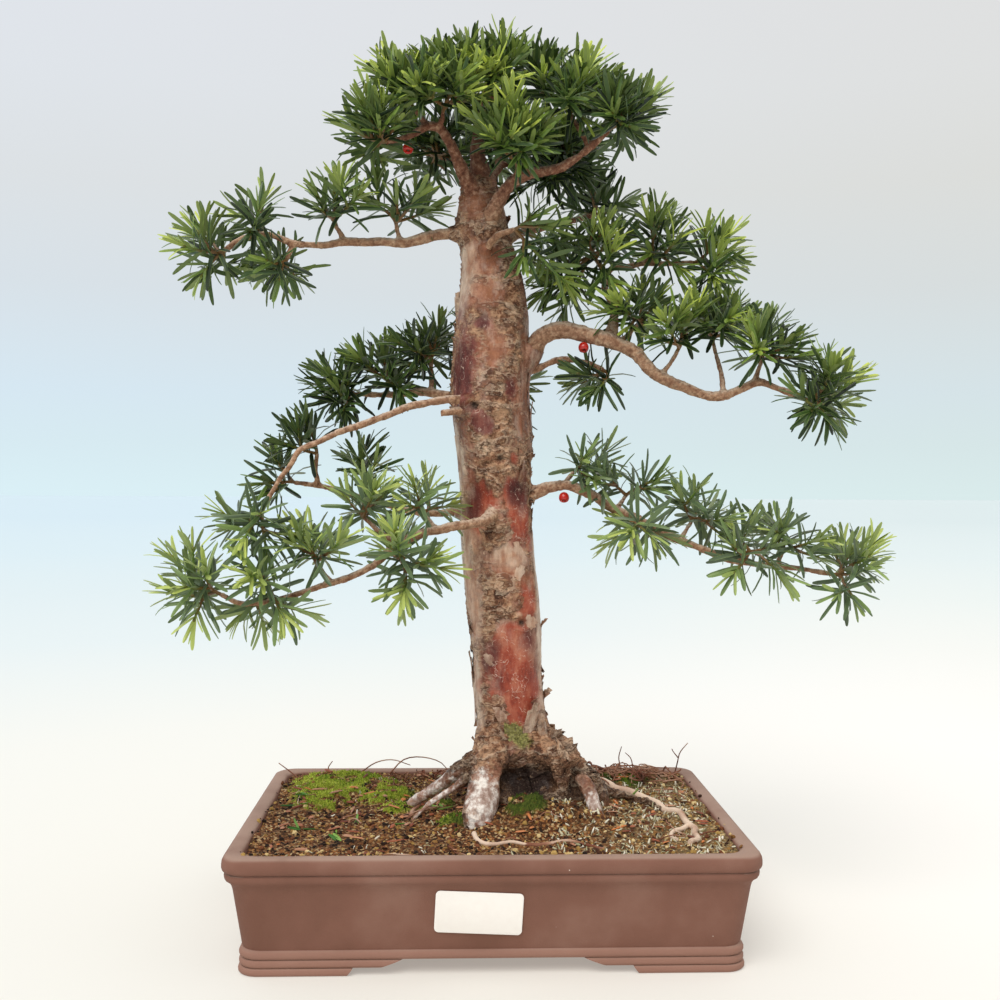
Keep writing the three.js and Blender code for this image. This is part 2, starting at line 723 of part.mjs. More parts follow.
function makeShoot(curve, isMain, id, random, taken) {
  const first = bareShare(curve);
  const places = isMain ? [0, 0.5 * first] : [0];
  const bare = places.length;
  for (let i = 0; i <= NEEDLE_STEPS; i += 1) places.push(first + ((1 - first) * i) / NEEDLE_STEPS);
  const shell = new Shell();
  const roll = random() * Math.PI * 2;
  const normal = new THREE.Vector3(0, 0, 1).cross(curve.getTangentAt(0));
  if (normal.lengthSq() < 0.01) normal.set(1, 0, 0);
  normal.normalize();
  const levels = places.map((t, level) => {
    const middle = curve.getPointAt(t);
    const axis = curve.getTangentAt(t).normalize();
    normal.addScaledVector(axis, -normal.dot(axis)).normalize();
    const across = axis.clone().cross(normal);
    const turn = roll + Math.max(level - bare, 0) * (Math.PI / SHOOT_SIDES);
    const radius = level === 0 && !isMain ? SHOOT_ROOT : SHOOT_RADIUS * (1.1 - 0.25 * t);
    const outs = [];
    const ring = [];
    for (let k = 0; k < SHOOT_SIDES; k += 1) {
      const a = turn + (k / SHOOT_SIDES) * Math.PI * 2;
      const out = normal.clone().multiplyScalar(Math.cos(a)).addScaledVector(across, Math.sin(a));
      const b = a + Math.PI / SHOOT_SIDES;
      outs.push(normal.clone().multiplyScalar(Math.cos(b)).addScaledVector(across, Math.sin(b)));
      ring.push(shell.add(middle.clone().addScaledVector(out, radius)));
    }
    return { ring, axis, outs, middle };
  });
  shell.capLow(levels[0].ring);
  for (let level = 1; level <= bare; level += 1) shell.band(levels[level - 1].ring, levels[level].ring);
  const at = (i) => new THREE.Vector3(shell.points[3 * i], shell.points[3 * i + 1], shell.points[3 * i + 2]);
  for (let level = bare; level < levels.length - 1; level += 1) {
    const low = levels[level];
    const high = levels[level + 1];
    const share = (level - bare) / (NEEDLE_STEPS - 1);
    const sweep = SWEEP_FIRST + (SWEEP_LAST - SWEEP_FIRST) * share;
    for (let k = 0; k < SHOOT_SIDES; k += 1) {
      const a = low.ring[k];
      const b = low.ring[(k + 1) % SHOOT_SIDES];
      const c = high.ring[k];
      shell.face(c, b, high.ring[(k + 1) % SHOOT_SIDES]);
      const root = at(a).add(at(b)).add(at(c)).divideScalar(3);
      const size = NEEDLE_LENGTH * (0.9 + 0.2 * random());
      const needle = placeNeedle(root, low.axis, low.outs[k], sweep, size, id, taken);
      if (!needle) {
        shell.face(a, b, c);
        continue;
      }
      taken.push(needle);
      const end = shell.add(needle.end);
      shell.face(a, b, end);
      shell.face(c, a, end);
      if (k === level % SHOOT_SIDES) {
        shell.face(b, c, end);
        continue;
      }
      const belly = at(b).lerp(needle.end, 0.58);
      belly.addScaledVector(at(b).sub(at(a)).normalize(), NEEDLE_BELLY);
      const side = shell.add(belly);
      shell.face(b, side, end);
      shell.face(b, c, side);
      shell.face(c, end, side);
    }
  }
  const last = levels[levels.length - 1];
  const bud = shell.add(last.middle.clone().addScaledVector(last.axis, BUD_LENGTH));
  for (let k = 0; k < SHOOT_SIDES; k += 1) {
    shell.face(last.ring[k], last.ring[(k + 1) % SHOOT_SIDES], bud);
  }
  return shell.solid();
}

// A fruit's middle, beside the stem that bears it
function fruitMiddle({ at, radius, way }) {
  return at.clone().addScaledVector(way, radius + FRUIT_RADIUS + 2 * GAP);
}

// Every fruit's seat: the place on its stem, the stem's radius there, and the way that the fruit hangs
function fruitSeats(plan) {
  return Object.entries(FRUITS).map(([name, { stem, share, way, ripe }]) => {
    const branch = BRANCHES[stem];
    const curve = branch
      ? new THREE.CatmullRomCurve3(branch.line.map(vec), false, "centripetal")
      : plan.find((spray) => spray.name === stem).lines[0];
    const radius = branch ? taper(branch.from, branch.to, share) : SHOOT_RADIUS;
    return { name, ripe, radius, at: curve.getPointAt(share), way: vec(way).normalize() };
  });
}

// A ripe fruit is a cup, open at its far end, and a green one is shaped like an acorn
function makeFruit(seat) {
  const r = FRUIT_RADIUS;
  const profile = seat.ripe
    ? [[0, -r], [0.78 * r, -0.64 * r], [r, 0.1 * r], [0.74 * r, 0.8 * r], [0.36 * r, 0.86 * r], [0, 0.4 * r]]
    : [[0, -r], [0.7 * r, -0.7 * r], [0.8 * r, 0.2 * r], [0.3 * r, 1.2 * r], [0, 1.4 * r]];
  const geometry = new THREE.LatheGeometry(profile.map(([x, y]) => new THREE.Vector2(x, y)), 7);
  geometry.applyQuaternion(new THREE.Quaternion().setFromUnitVectors(new THREE.Vector3(0, 1, 0), seat.way));
  geometry.translate(...fruitMiddle(seat).toArray());
  return geometry;
}

const MATERIALS = {
  clay: { color: 0x8a6357, roughness: 0.82, metalness: 0 },
  soil: { color: 0x6b4a2c, roughness: 0.95, metalness: 0 },
  bark: { color: 0x9c7a62, roughness: 0.8, metalness: 0 },
  needles: { color: 0x3d6b2c, roughness: 0.5, metalness: 0 },
  paper: { color: 0xf4f2ee, roughness: 0.55, metalness: 0 },
  aril: { color: 0xc4281c, roughness: 0.3, metalness: 0 },
  seed: { color: 0x8d8486, roughness: 0.5, metalness: 0 },
  screen: { color: 0x26282a, roughness: 0.6, metalness: 0 },
};

const model = new THREE.Group();

function addMesh(name, geometry, material) {
  const mesh = new THREE.Mesh(geometry, new THREE.MeshStandardMaterial(MATERIALS[material]));
  mesh.name = name;
  mesh.geometry.computeVertexNormals();
  model.add(mesh);
}

function build() {
  const screens = [-DRAIN_SPACING / 2, DRAIN_SPACING / 2];
  addMesh("pot", geometryOf(makePot()), "clay");
  screens.forEach((x, i) => addMesh(`drain_screen_${i + 1}`, geometryOf(makeDrainScreen(x)), "screen"));
  addMesh("soil", geometryOf(makeSoil(fuse([makeTrunk(GAP), ...makeRoots(GAP)]), screens)), "soil");
  addMesh("label", makeLabel(), "paper");

  const plan = makePlan();
  const taken = [];
  const trunkLine = new THREE.CatmullRomCurve3(TRUNK.map(([z, x]) => new THREE.Vector3(x, 0, z)));
  taken.push(...stretchesOf(trunkLine, 26, 20, 12, { shoot: -1 }));
  const wood = [makeTrunk(), ...makeRoots()];
  for (const { from, to, line } of Object.values(BRANCHES)) {
    const steps = Math.max(line.length - 1, 5);
    wood.push(taperedBar(line, from, to, from > 4 ? 6 : 4, steps));
    const curve = new THREE.CatmullRomCurve3(line.map(vec), false, "centripetal");
    taken.push(...stretchesOf(curve, from, to, steps, { shoot: -1 }));
  }
  plan.filter((spray) => spray.twig).forEach((spray) => {
    wood.push(barOnCurve(spray.twig, TWIG_FROM, TWIG_TO, TWIG_SIDES, TWIG_STEPS));
    taken.push(...stretchesOf(spray.twig, TWIG_FROM, TWIG_TO, TWIG_STEPS, { shoot: -1 }));
  });
  addMesh("wood", geometryOf(fuse(wood)), "bark");

  for (const seat of fruitSeats(plan)) {
    addMesh(seat.name, makeFruit(seat), seat.ripe ? "aril" : "seed");
    const middle = fruitMiddle(seat);
    const end = middle.clone().addScaledVector(seat.way, 0.5 * FRUIT_RADIUS);
    taken.push(stretch(middle, end, FRUIT_RADIUS, FRUIT_RADIUS, { shoot: -1 }));
  }

  let id = 0;
  plan.forEach((spray) => {
    spray.ids = spray.lines.map((line) => {
      id += 1;
      taken.push(...stretchesOf(line, SHOOT_RADIUS, SHOOT_RADIUS, 4, { shoot: id }));
      const bud = line.v2.clone().addScaledVector(line.getTangent(1), BUD_LENGTH);
      taken.push(stretch(line.v2, bud, SHOOT_RADIUS, 0, { shoot: id }));
      return id;
    });
  });
  const random = makeRandom(SEED);
  plan.forEach((spray) => {
    const shoots = spray.lines.map((line, i) => makeShoot(line, i === 0, spray.ids[i], random, taken));
    addMesh(spray.name, geometryOf(fuse(shoots)), "needles");
  });
}

build();

const box = new THREE.Box3().setFromObject(model);
model.position.set(-(box.min.x + box.max.x) / 2, -(box.min.y + box.max.y) / 2, -box.min.z);

const bonsai = new THREE.Group();
bonsai.add(model);

export default bonsai;
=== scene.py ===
"""Looks for a Japanese yew grown as a bonsai in a rectangular clay pot.

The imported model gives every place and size. The tables hold millimetres from the middle of the pot, on the
surface that its feet stand on. Each piece is modelled round that middle, in metres, and then put in place.
"""

import logging
import math
from contextlib import contextmanager
from dataclasses import dataclass, field
from enum import Enum
from itertools import pairwise, product
from typing import Iterator, Sequence

import bpy
import numpy as np
from bpy.types import ID, Material, Node, NodeSocket as Socket, Object as Piece
from mathutils import Matrix, Vector
from mathutils.bvhtree import BVHTree
from mathutils.kdtree import KDTree


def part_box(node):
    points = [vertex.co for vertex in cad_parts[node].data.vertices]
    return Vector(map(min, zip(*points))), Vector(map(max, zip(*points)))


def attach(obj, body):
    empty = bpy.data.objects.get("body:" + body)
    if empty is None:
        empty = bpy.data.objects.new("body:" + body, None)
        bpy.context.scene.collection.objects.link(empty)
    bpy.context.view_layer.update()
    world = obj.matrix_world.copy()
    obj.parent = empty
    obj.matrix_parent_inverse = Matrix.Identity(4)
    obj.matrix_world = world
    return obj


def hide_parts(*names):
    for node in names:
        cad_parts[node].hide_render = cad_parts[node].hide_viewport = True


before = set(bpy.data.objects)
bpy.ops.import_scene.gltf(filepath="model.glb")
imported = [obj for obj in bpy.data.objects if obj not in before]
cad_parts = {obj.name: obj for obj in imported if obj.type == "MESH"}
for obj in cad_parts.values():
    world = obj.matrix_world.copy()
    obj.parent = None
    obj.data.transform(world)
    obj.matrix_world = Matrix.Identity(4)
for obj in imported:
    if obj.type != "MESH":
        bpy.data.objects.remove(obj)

LOG = logging.getLogger("bonsai")
MM = 0.001
BODY = "root"

Rows = np.ndarray
Draws = np.random.Generator
Point = tuple[float, float, float]
Profile = Sequence[tuple[float, float]]
Stops = Sequence[tuple[float, str]]
Tones = tuple[str, ...]

# Trunk: each row is height, middle X and radius
TRUNK = [
    (60, 27, 38), (74, 27, 39), (88, 26, 35), (100, 23, 30), (113, 18, 25.5), (127, 14, 22.8),
    (152, 11.5, 22.4), (190, 10, 23.6), (230, 7, 24), (270, 4, 23.2), (303, 2, 24.3), (336, -1.2, 26),
    (378, -1, 25), (405, 0, 22), (420, -1, 19.6), (436, -4, 17.2), (446, -7, 17), (456, -7, 16.4),
    (466, -8, 14), (474, -8, 12.6), (480, -8, 10.5), (483, -8, 6),
]


@dataclass(frozen=True)
class Stem:
    """A root or a branch: its radius where it starts and where it ends, and the line that it follows."""

    start: float
    end: float
    line: Sequence[Point]


ROOTS = [
    Stem(14, 9, [
        (5, -8, 118), (2, -20, 107), (-0.5, -28, 98), (-4, -35, 90), (-7, -41, 81), (-8.5, -46, 71),
        (-9, -48, 60)]),
    Stem(5.6, 2.8, [(0, -8, 105), (-16, -12, 98), (-26, -10, 90), (-36, -6, 82), (-46, -2, 75), (-58, 2, 66)]),
    Stem(3.4, 1.9, [(0, -16, 98), (-13, -20, 93), (-23, -24, 87), (-32, -26, 82), (-40, -28, 77), (-52, -32, 66)]),
    Stem(14, 6, [(24, 0, 116), (40, -2, 107), (51, -4, 98), (60, -6, 90), (68, -9, 80), (73, -10, 64)]),
    Stem(13, 6, [(26, -6, 112), (36, -18, 107), (41, -26, 98), (43, -29, 86), (43, -30, 62)]),
    Stem(13, 4, [(20, 6, 108), (12, 30, 90), (4, 50, 77), (-2, 64, 64)]),
    Stem(12, 3.6, [(28, 6, 106), (50, 24, 88), (66, 38, 76), (76, 46, 64)]),
    Stem(6, 2.4, [(8, 6, 98), (-16, 18, 86), (-36, 26, 76), (-50, 32, 64)]),
    Stem(5.5, 5.5, [(57, -24, 94), (61, -31, 88), (64, -36, 80), (66, -39, 70)]),
    Stem(2.6, 1.5, [(62, -6, 86), (78, -2, 79), (92, 0, 75), (106, -5, 71), (118, -14, 68), (122, -24, 64)]),
]

BRANCHES = {
    "left_top": Stem(5, 1.9, [
        (0, 0, 450), (-19, -2, 444), (-34, -4, 443), (-56, -10, 436), (-91, -14, 435), (-110, -18, 431),
        (-124, -20, 432), (-141, -22, 437), (-157, -25, 434), (-168, -27, 426)]),
    "crown_left": Stem(6, 1.9, [
        (-8, -3, 464), (-18, -13, 480), (-26, -20, 493), (-34, -24, 504), (-42, -26, 505), (-55, -31, 497),
        (-66, -36, 493)]),
    "crown_top": Stem(8, 2, [(-5, 0, 470), (-9, -2, 496), (-7, 0, 518), (-3, -10, 545)]),
    "crown_right": Stem(6.5, 2.2, [
        (-3, -10, 442), (1, -22, 455), (8, -28, 467), (19, -31, 474), (38, -34, 477), (52, -36, 485), (70, -40, 500)]),
    "crown_back": Stem(6, 2.2, [(-4, 0, 468), (0, 26, 486), (6, 44, 502), (4, 62, 524)]),
    "right_main": Stem(8, 2.2, [
        (4, 2, 356), (25, -1, 366), (32, -4, 376), (44, -8, 381), (60, -12, 378), (73, -16, 374),
        (89, -18, 367), (101, -20, 355), (121, -20, 345), (137, -20, 339), (149, -22, 339), (160, -24, 343),
        (170, -28, 346), (180, -32, 342), (194, -37, 336)]),
    "right_up": Stem(3.6, 1.9, [
        (76, -14, 372), (80, 0, 394), (75, 8, 410), (79, 17, 424), (101, 25, 431), (122, 29, 432),
        (137, 30, 433)]),
    "right_small": Stem(3.6, 1.9, [(-4, -4, 424), (-4, -20, 431), (3, -29, 437), (12, -31, 440)]),
    "right_behind": Stem(4.5, 2, [(0, 6, 434), (22, 30, 452), (44, 50, 462), (71, 62, 471)]),
    "right_stub": Stem(3.4, 2, [(4, 2, 352), (26, 1, 356), (45, 0, 362), (62, -2, 360), (72, -4, 356)]),
    "right_low": Stem(5, 1.8, [
        (6, 2, 270), (28, 0, 275), (39, -4, 279), (51, -8, 280), (64, -10, 274), (84, -12, 263),
        (100, -14, 254), (122, -16, 245), (142, -16, 237), (168, -14, 230), (195, -12, 227),
        (222, -12, 223)]),
    "left_mid": Stem(3.6, 1.7, [
        (0, -8, 334), (-17, -22, 334), (-39, -30, 332), (-58, -36, 326), (-76, -42, 319), (-91, -46, 313),
        (-106, -50, 306), (-118, -52, 300), (-123, -54, 291), (-129, -56, 283), (-138, -60, 266)]),
    "left_back": Stem(5, 1.9, [(-4, 4, 336), (-22, 14, 338), (-42, 26, 342), (-64, 34, 341), (-90, 39, 342)]),
    "left_back_low": Stem(4, 1.8, [
        (2, 4, 262), (-19, 6, 262), (-35, 10, 261), (-60, 16, 264), (-94, 20, 274), (-110, 22, 278),
        (-130, 24, 281)]),
    "left_low": Stem(4, 1.8, [
        (4, -14, 264), (-8, -34, 256), (-29, -40, 253), (-48, -44, 249), (-63, -46, 239), (-75, -50, 230),
        (-87, -52, 224), (-99, -56, 220), (-116, -60, 214), (-134, -62, 209), (-151, -64, 208),
        (-162, -64, 213)]),
    "left_stub": Stem(3.4, 2.4, [(-6, -6, 328), (-17, -18, 327), (-31, -30, 325)]),
    "back_mid": Stem(5.5, 2, [(2, 8, 352), (4, 36, 358), (-2, 58, 352), (8, 84, 350)]),
}

# Sprays by the branch that bears them: the fork where each one starts, then the end of each of its shoots
SPRAYS = {
    "left_top": [
        ((-168, -27, 426), [(-189, -42, 425), (-181, -32, 410), (-169, -12, 417), (-183, -18, 442)]),
        ((-147, -19, 444), [(-164, -10, 451), (-149, -48, 433), (-157, -4, 426)]),
        ((-130, -21, 423), [(-139, -40, 417), (-126, -2, 414), (-148, -6, 416)]),
        ((-100, -14, 444), [(-110, -26, 460), (-97, -6, 475), (-85, -34, 459)]),
        ((-62, -8, 447), [(-80, -10, 462), (-48, -16, 464), (-38, 8, 462)]),
    ],
    "crown_left": [
        ((-66, -36, 493), [(-90, -42, 500), (-78, -52, 510), (-78, -14, 494), (-70, -56, 494)]),
        ((-50, -28, 516), [(-64, -46, 526), (-66, -18, 545), (-56, 6, 543), (-41, -56, 528)]),
        ((-32, -36, 512), [(-22, -64, 522), (-46, -58, 518), (-12, -54, 530)]),
    ],
    "crown_top": [
        ((-24, -8, 532), [(-44, -26, 544), (-32, 6, 556), (-22, -46, 536)]),
        ((-3, -10, 538), [(-15, -20, 556), (3, -2, 563), (-2, -50, 534), (12, -36, 546)]),
        ((23, -8, 532), [(22, -12, 556), (42, 14, 556), (30, -48, 530), (55, -20, 548)]),
    ],
    "crown_right": [
        ((49, -30, 512), [(52, -58, 524), (72, -24, 538), (92, -4, 534), (42, -72, 510)]),
        ((70, -40, 500), [(98, -36, 522), (88, -58, 508), (70, -70, 502), (88, -18, 508)]),
        ((15, -34, 477), [
            (10, -58, 516), (-12, -54, 502), (30, -52, 500), (0, -64, 487), (24, -62, 484)]),
    ],
    "crown_back": [
        ((4, 62, 524), [(-8, 30, 500), (-16, 84, 530), (8, 92, 512), (26, 84, 534), (2, 60, 546)]),
        ((-34, 44, 506), [(-12, 16, 508), (-22, 20, 522), (-60, 54, 512), (-44, 76, 500), (-62, 30, 522)]),
        ((44, 48, 508), [
            (32, 34, 514), (54, 30, 520), (40, 22, 486), (64, 40, 494), (18, 30, 480), (70, 50, 522), (50, 82, 506)]),
    ],
    "right_small": [((12, -31, 440), [(22, -36, 446), (46, -26, 408), (60, 22, 444)])],
    "right_up": [
        ((68, 10, 432), [(34, 14, 408), (48, 18, 396), (36, 22, 424), (66, 4, 446), (92, 34, 450), (80, -14, 410)]),
        ((109, 24, 438), [(106, 16, 458), (127, 46, 449), (126, 6, 424)]),
        ((137, 30, 433), [(154, 18, 447), (168, 42, 438), (146, 0, 418)]),
    ],
    "right_behind": [((71, 62, 471), [(77, 64, 496), (100, 84, 486), (62, 92, 484)])],
    "right_main": [
        ((96, 4, 386), [(102, 18, 410), (80, -26, 396), (118, 34, 398)]),
        ((119, -16, 366), [(107, -42, 382), (130, -28, 394)]),
        ((147, 0, 372), [(136, -2, 396), (160, 24, 402), (150, -32, 386), (170, 2, 390)]),
        ((172, -24, 359), [(162, -54, 364), (180, -8, 376), (192, -26, 372)]),
        ((194, -37, 336), [(194, -62, 326), (212, -46, 352), (232, -32, 350), (228, -12, 334)]),
    ],
    "right_stub": [((72, -4, 356), [(66, -26, 341), (58, 12, 348)])],
    "right_low": [
        ((54, 2, 288), [(58, -22, 296), (76, 20, 292)]),
        ((88, 0, 272), [(74, -6, 288), (108, -10, 284)]),
        ((94, -28, 258), [(84, -52, 250), (76, -26, 244), (106, -16, 244)]),
        ((131, -6, 256), [(122, -18, 272), (140, 20, 264), (148, -26, 258)]),
        ((163, -23, 237), [(160, -2, 252), (152, -40, 226), (184, -36, 222)]),
        ((190, -12, 237), [(186, -22, 254), (188, 14, 256), (206, -34, 246)]),
        ((222, -12, 223), [(246, -20, 242), (238, 12, 240), (234, -22, 208), (252, 2, 226)]),
    ],
    "left_mid": [((-138, -60, 266), [(-147, -80, 246), (-135, -66, 238), (-158, -50, 254)])],
    "left_back": [
        ((-40, 32, 362), [(-34, 24, 388), (-46, 58, 377), (-60, 16, 374)]),
        ((-70, 40, 350), [(-72, 48, 372), (-88, 26, 364), (-58, 10, 342)]),
        ((-90, 39, 342), [(-106, 24, 351), (-114, 54, 358), (-98, 18, 330)]),
    ],
    "left_back_low": [
        ((-130, 24, 281), [(-150, 12, 280), (-142, 34, 297)]),
        ((-116, 21, 299), [(-134, 6, 306), (-122, 16, 320)]),
        ((-82, 19, 280), [(-76, 2, 292), (-94, 32, 297)]),
    ],
    "left_low": [
        ((-162, -64, 213), [(-192, -60, 235), (-167, -88, 230), (-176, -74, 200), (-188, -38, 210)]),
        ((-134, -62, 216), [(-142, -90, 226), (-152, -52, 200), (-124, -78, 202)]),
        ((-106, -54, 230), [(-116, -64, 248), (-104, -26, 241), (-90, -74, 246)]),
        ((-79, -34, 258), [(-92, -34, 272), (-72, -54, 276), (-82, -2, 268)]),
        ((-57, -48, 234), [(-58, -86, 251), (-36, -70, 236), (-58, -24, 254), (-54, -68, 214)]),
        ((-42, -30, 260), [(-48, -44, 278), (-26, -14, 266)]),
    ],
    "back_mid": [
        ((8, 84, 350), [(30, 98, 358), (10, 104, 336), (-14, 102, 356)]),
        ((-10, 62, 368), [(-34, 76, 376), (-14, 64, 394), (10, 50, 388)]),
    ],
}


def pot_middle() -> Vector:
    """The middle of the pot in the model's frame, on the surface that it stands on."""
    low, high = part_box("pot")
    return Vector(((low.x + high.x) / 2, (low.y + high.y) / 2, 0.0))


HOME = pot_middle()


def colour(code: str) -> tuple[float, float, float, float]:
    """Turns a hex colour, as seen on a screen, into the linear values that a socket takes."""
    parts = [int(code[i:i + 2], 16) / 255 for i in (1, 3, 5)]
    linear = [c / 12.92 if c <= 0.04045 else ((c + 0.055) / 1.055) ** 2.4 for c in parts]
    return (linear[0], linear[1], linear[2], 1.0)


def unit(rows: Rows) -> Rows:
    """Scales each row to a length of 1."""
    return rows / np.maximum(np.linalg.norm(rows, axis=-1, keepdims=True), 1e-12)


def length_of(line: Rows) -> float:
    """How long a line of points is."""
    return np.linalg.norm(np.diff(line, axis=0), axis=1).sum()


def away_from(places: Rows, middle: Point, sizes: Point) -> Rows:
    """How far places are from a middle, along each axis in the size given for it."""
    return np.linalg.norm((places - middle) / sizes, axis=1)


def evenly(dense: Rows, count: int) -> Rows:
    """Spreads points evenly along a line.

    Args:
        dense: points that follow the line closely.
        count: how many points to give back.

    Returns:
        That many points, the first and last where the line starts and ends.
    """
    run = np.concatenate([[0.0], np.cumsum(np.linalg.norm(np.diff(dense, axis=0), axis=1))])
    places = np.linspace(0, run[-1], count)
    return np.stack([np.interp(places, run, dense[:, axis]) for axis in range(3)], axis=1)


def smooth_line(points: Sequence[Point], count: int) -> Rows:
    """Follows a centripetal Catmull-Rom curve through the points.

    Args:
        points: the places that the curve passes.
        count: how many points to give back.

    Returns:
        Points spaced evenly along the curve.
    """
    knots = np.asarray(points, float)
    knots = np.vstack([2 * knots[0] - knots[1], knots, 2 * knots[-1] - knots[-2]])
    dense = []
    for a, b, c, d in zip(knots, knots[1:], knots[2:], knots[3:]):
        first, mid, last = (math.sqrt(np.linalg.norm(q - p)) for p, q in ((a, b), (b, c), (c, d)))
        leave = ((b - a) / first - (c - a) / (first + mid) + (c - b) / mid) * mid
        arrive = ((c - b) / mid - (d - b) / (mid + last) + (d - c) / last) * mid
        t = np.linspace(0, 1, 16, endpoint=False)[:, None]
        dense.append(
            (2 * t**3 - 3 * t**2 + 1) * b + (t**3 - 2 * t**2 + t) * leave
            + (3 * t**2 - 2 * t**3) * c + (t**3 - t**2) * arrive
        )
    return evenly(np.vstack([*dense, knots[-2][None]]), count)


def bent_line(start: Rows, middle: Rows, end: Rows, count: int) -> Rows:
    """Follows a quadratic Bezier curve.

    Args:
        start: where the curve starts.
        middle: the point that it is drawn towards.
        end: where it ends.
        count: how many points to give back.

    Returns:
        Points spaced evenly along the curve.
    """
    t = np.linspace(0, 1, 33)[:, None]
    return evenly((1 - t) ** 2 * start + 2 * t * (1 - t) * middle + t**2 * end, count)


def frames_from(up: Rows, turns: Rows) -> Rows:
    """Frames whose Z goes a given way and whose X is turned about it.

    Args:
        up: the way of each frame's Z, as unit rows.
        turns: how far each frame is turned about its Z, in radians.

    Returns:
        For each frame its X, Y and Z, as rows.
    """
    aside = np.where(np.abs(up[:, 2:3]) > 0.9, [[1.0, 0.0, 0.0]], [[0.0, 0.0, 1.0]])
    first = unit(np.cross(aside, up))
    second = np.cross(up, first)
    across = np.cos(turns)[:, None] * first + np.sin(turns)[:, None] * second
    return np.stack([across, np.cross(up, across), up], axis=1)


def step(low: float, high: float, values: Rows) -> Rows:
    """Rises smoothly from 0 to 1 as the values go from low to high, or falls where low is the larger."""
    t = np.clip((values - low) / (high - low), 0, 1)
    return t * t * (3 - 2 * t)


@dataclass(frozen=True)
class Grain:
    """Repeatable noise over whole arrays of points. Each seed has its own."""

    seed: int

    def _pick(self, cells: Rows, more: int = 0) -> Rows:
        """A number from 0 to 1 for each whole-numbered cell."""
        mixed = cells[..., 0] * 374761393 + cells[..., 1] * 668265263 + cells[..., 2] * 974634777
        mixed = (mixed + (self.seed + more) * 1274126177) & 0x7FFFFFFF
        mixed = ((mixed ^ (mixed >> 13)) * 1103515245) & 0x7FFFFFFF
        mixed = ((mixed ^ (mixed >> 15)) * 22695477) & 0x7FFFFFFF
        return (mixed ^ (mixed >> 16)) % 65536 / 65535

    def cloud(self, points: Rows, size: float, layers: int = 1) -> Rows:
        """Smooth noise.

        Args:
            points: rows of X, Y and Z.
            size: how far apart the largest lumps are.
            layers: how many sizes of lump are added, each half as large as the one before.

        Returns:
            A value from 0 to 1 at each point.
        """
        total = np.zeros(len(points))
        for layer in range(layers):
            place = points * (2**layer / size)
            low = np.floor(place).astype(np.int64)
            part = place - low
            part = part * part * (3 - 2 * part)
            for corner in product((0, 1), repeat=3):
                share = np.prod(np.where(corner, part, 1 - part), axis=-1)
                total += share * self._pick(low + corner, layer) * 0.5**layer
        return total / (2 - 0.5 ** (layers - 1))

    def plates(self, points: Rows, size: float) -> tuple[Rows, Rows]:
        """Irregular plates with edges between them.

        Args:
            points: rows of X, Y and Z.
            size: how far apart the plates' middles are.

        Returns:
            How far each point is from its plate's edge, in plate sizes, and a value from 0 to 1 for its plate.
        """
        place = points / size
        low = np.floor(place).astype(np.int64)
        best, second, pick = np.full(len(points), 9.0), np.full(len(points), 9.0), np.zeros(len(points))
        for corner in product((-1, 0, 1), repeat=3):
            cell = low + corner
            seat = cell + np.stack([self._pick(cell, 10 + axis) for axis in range(3)], axis=1)
            away = np.linalg.norm(place - seat, axis=1)
            closer = away < best
            second = np.where(closer, best, np.minimum(second, away))
            pick = np.where(closer, self._pick(cell, 20), pick)
            best = np.where(closer, away, best)
        return second - best, pick


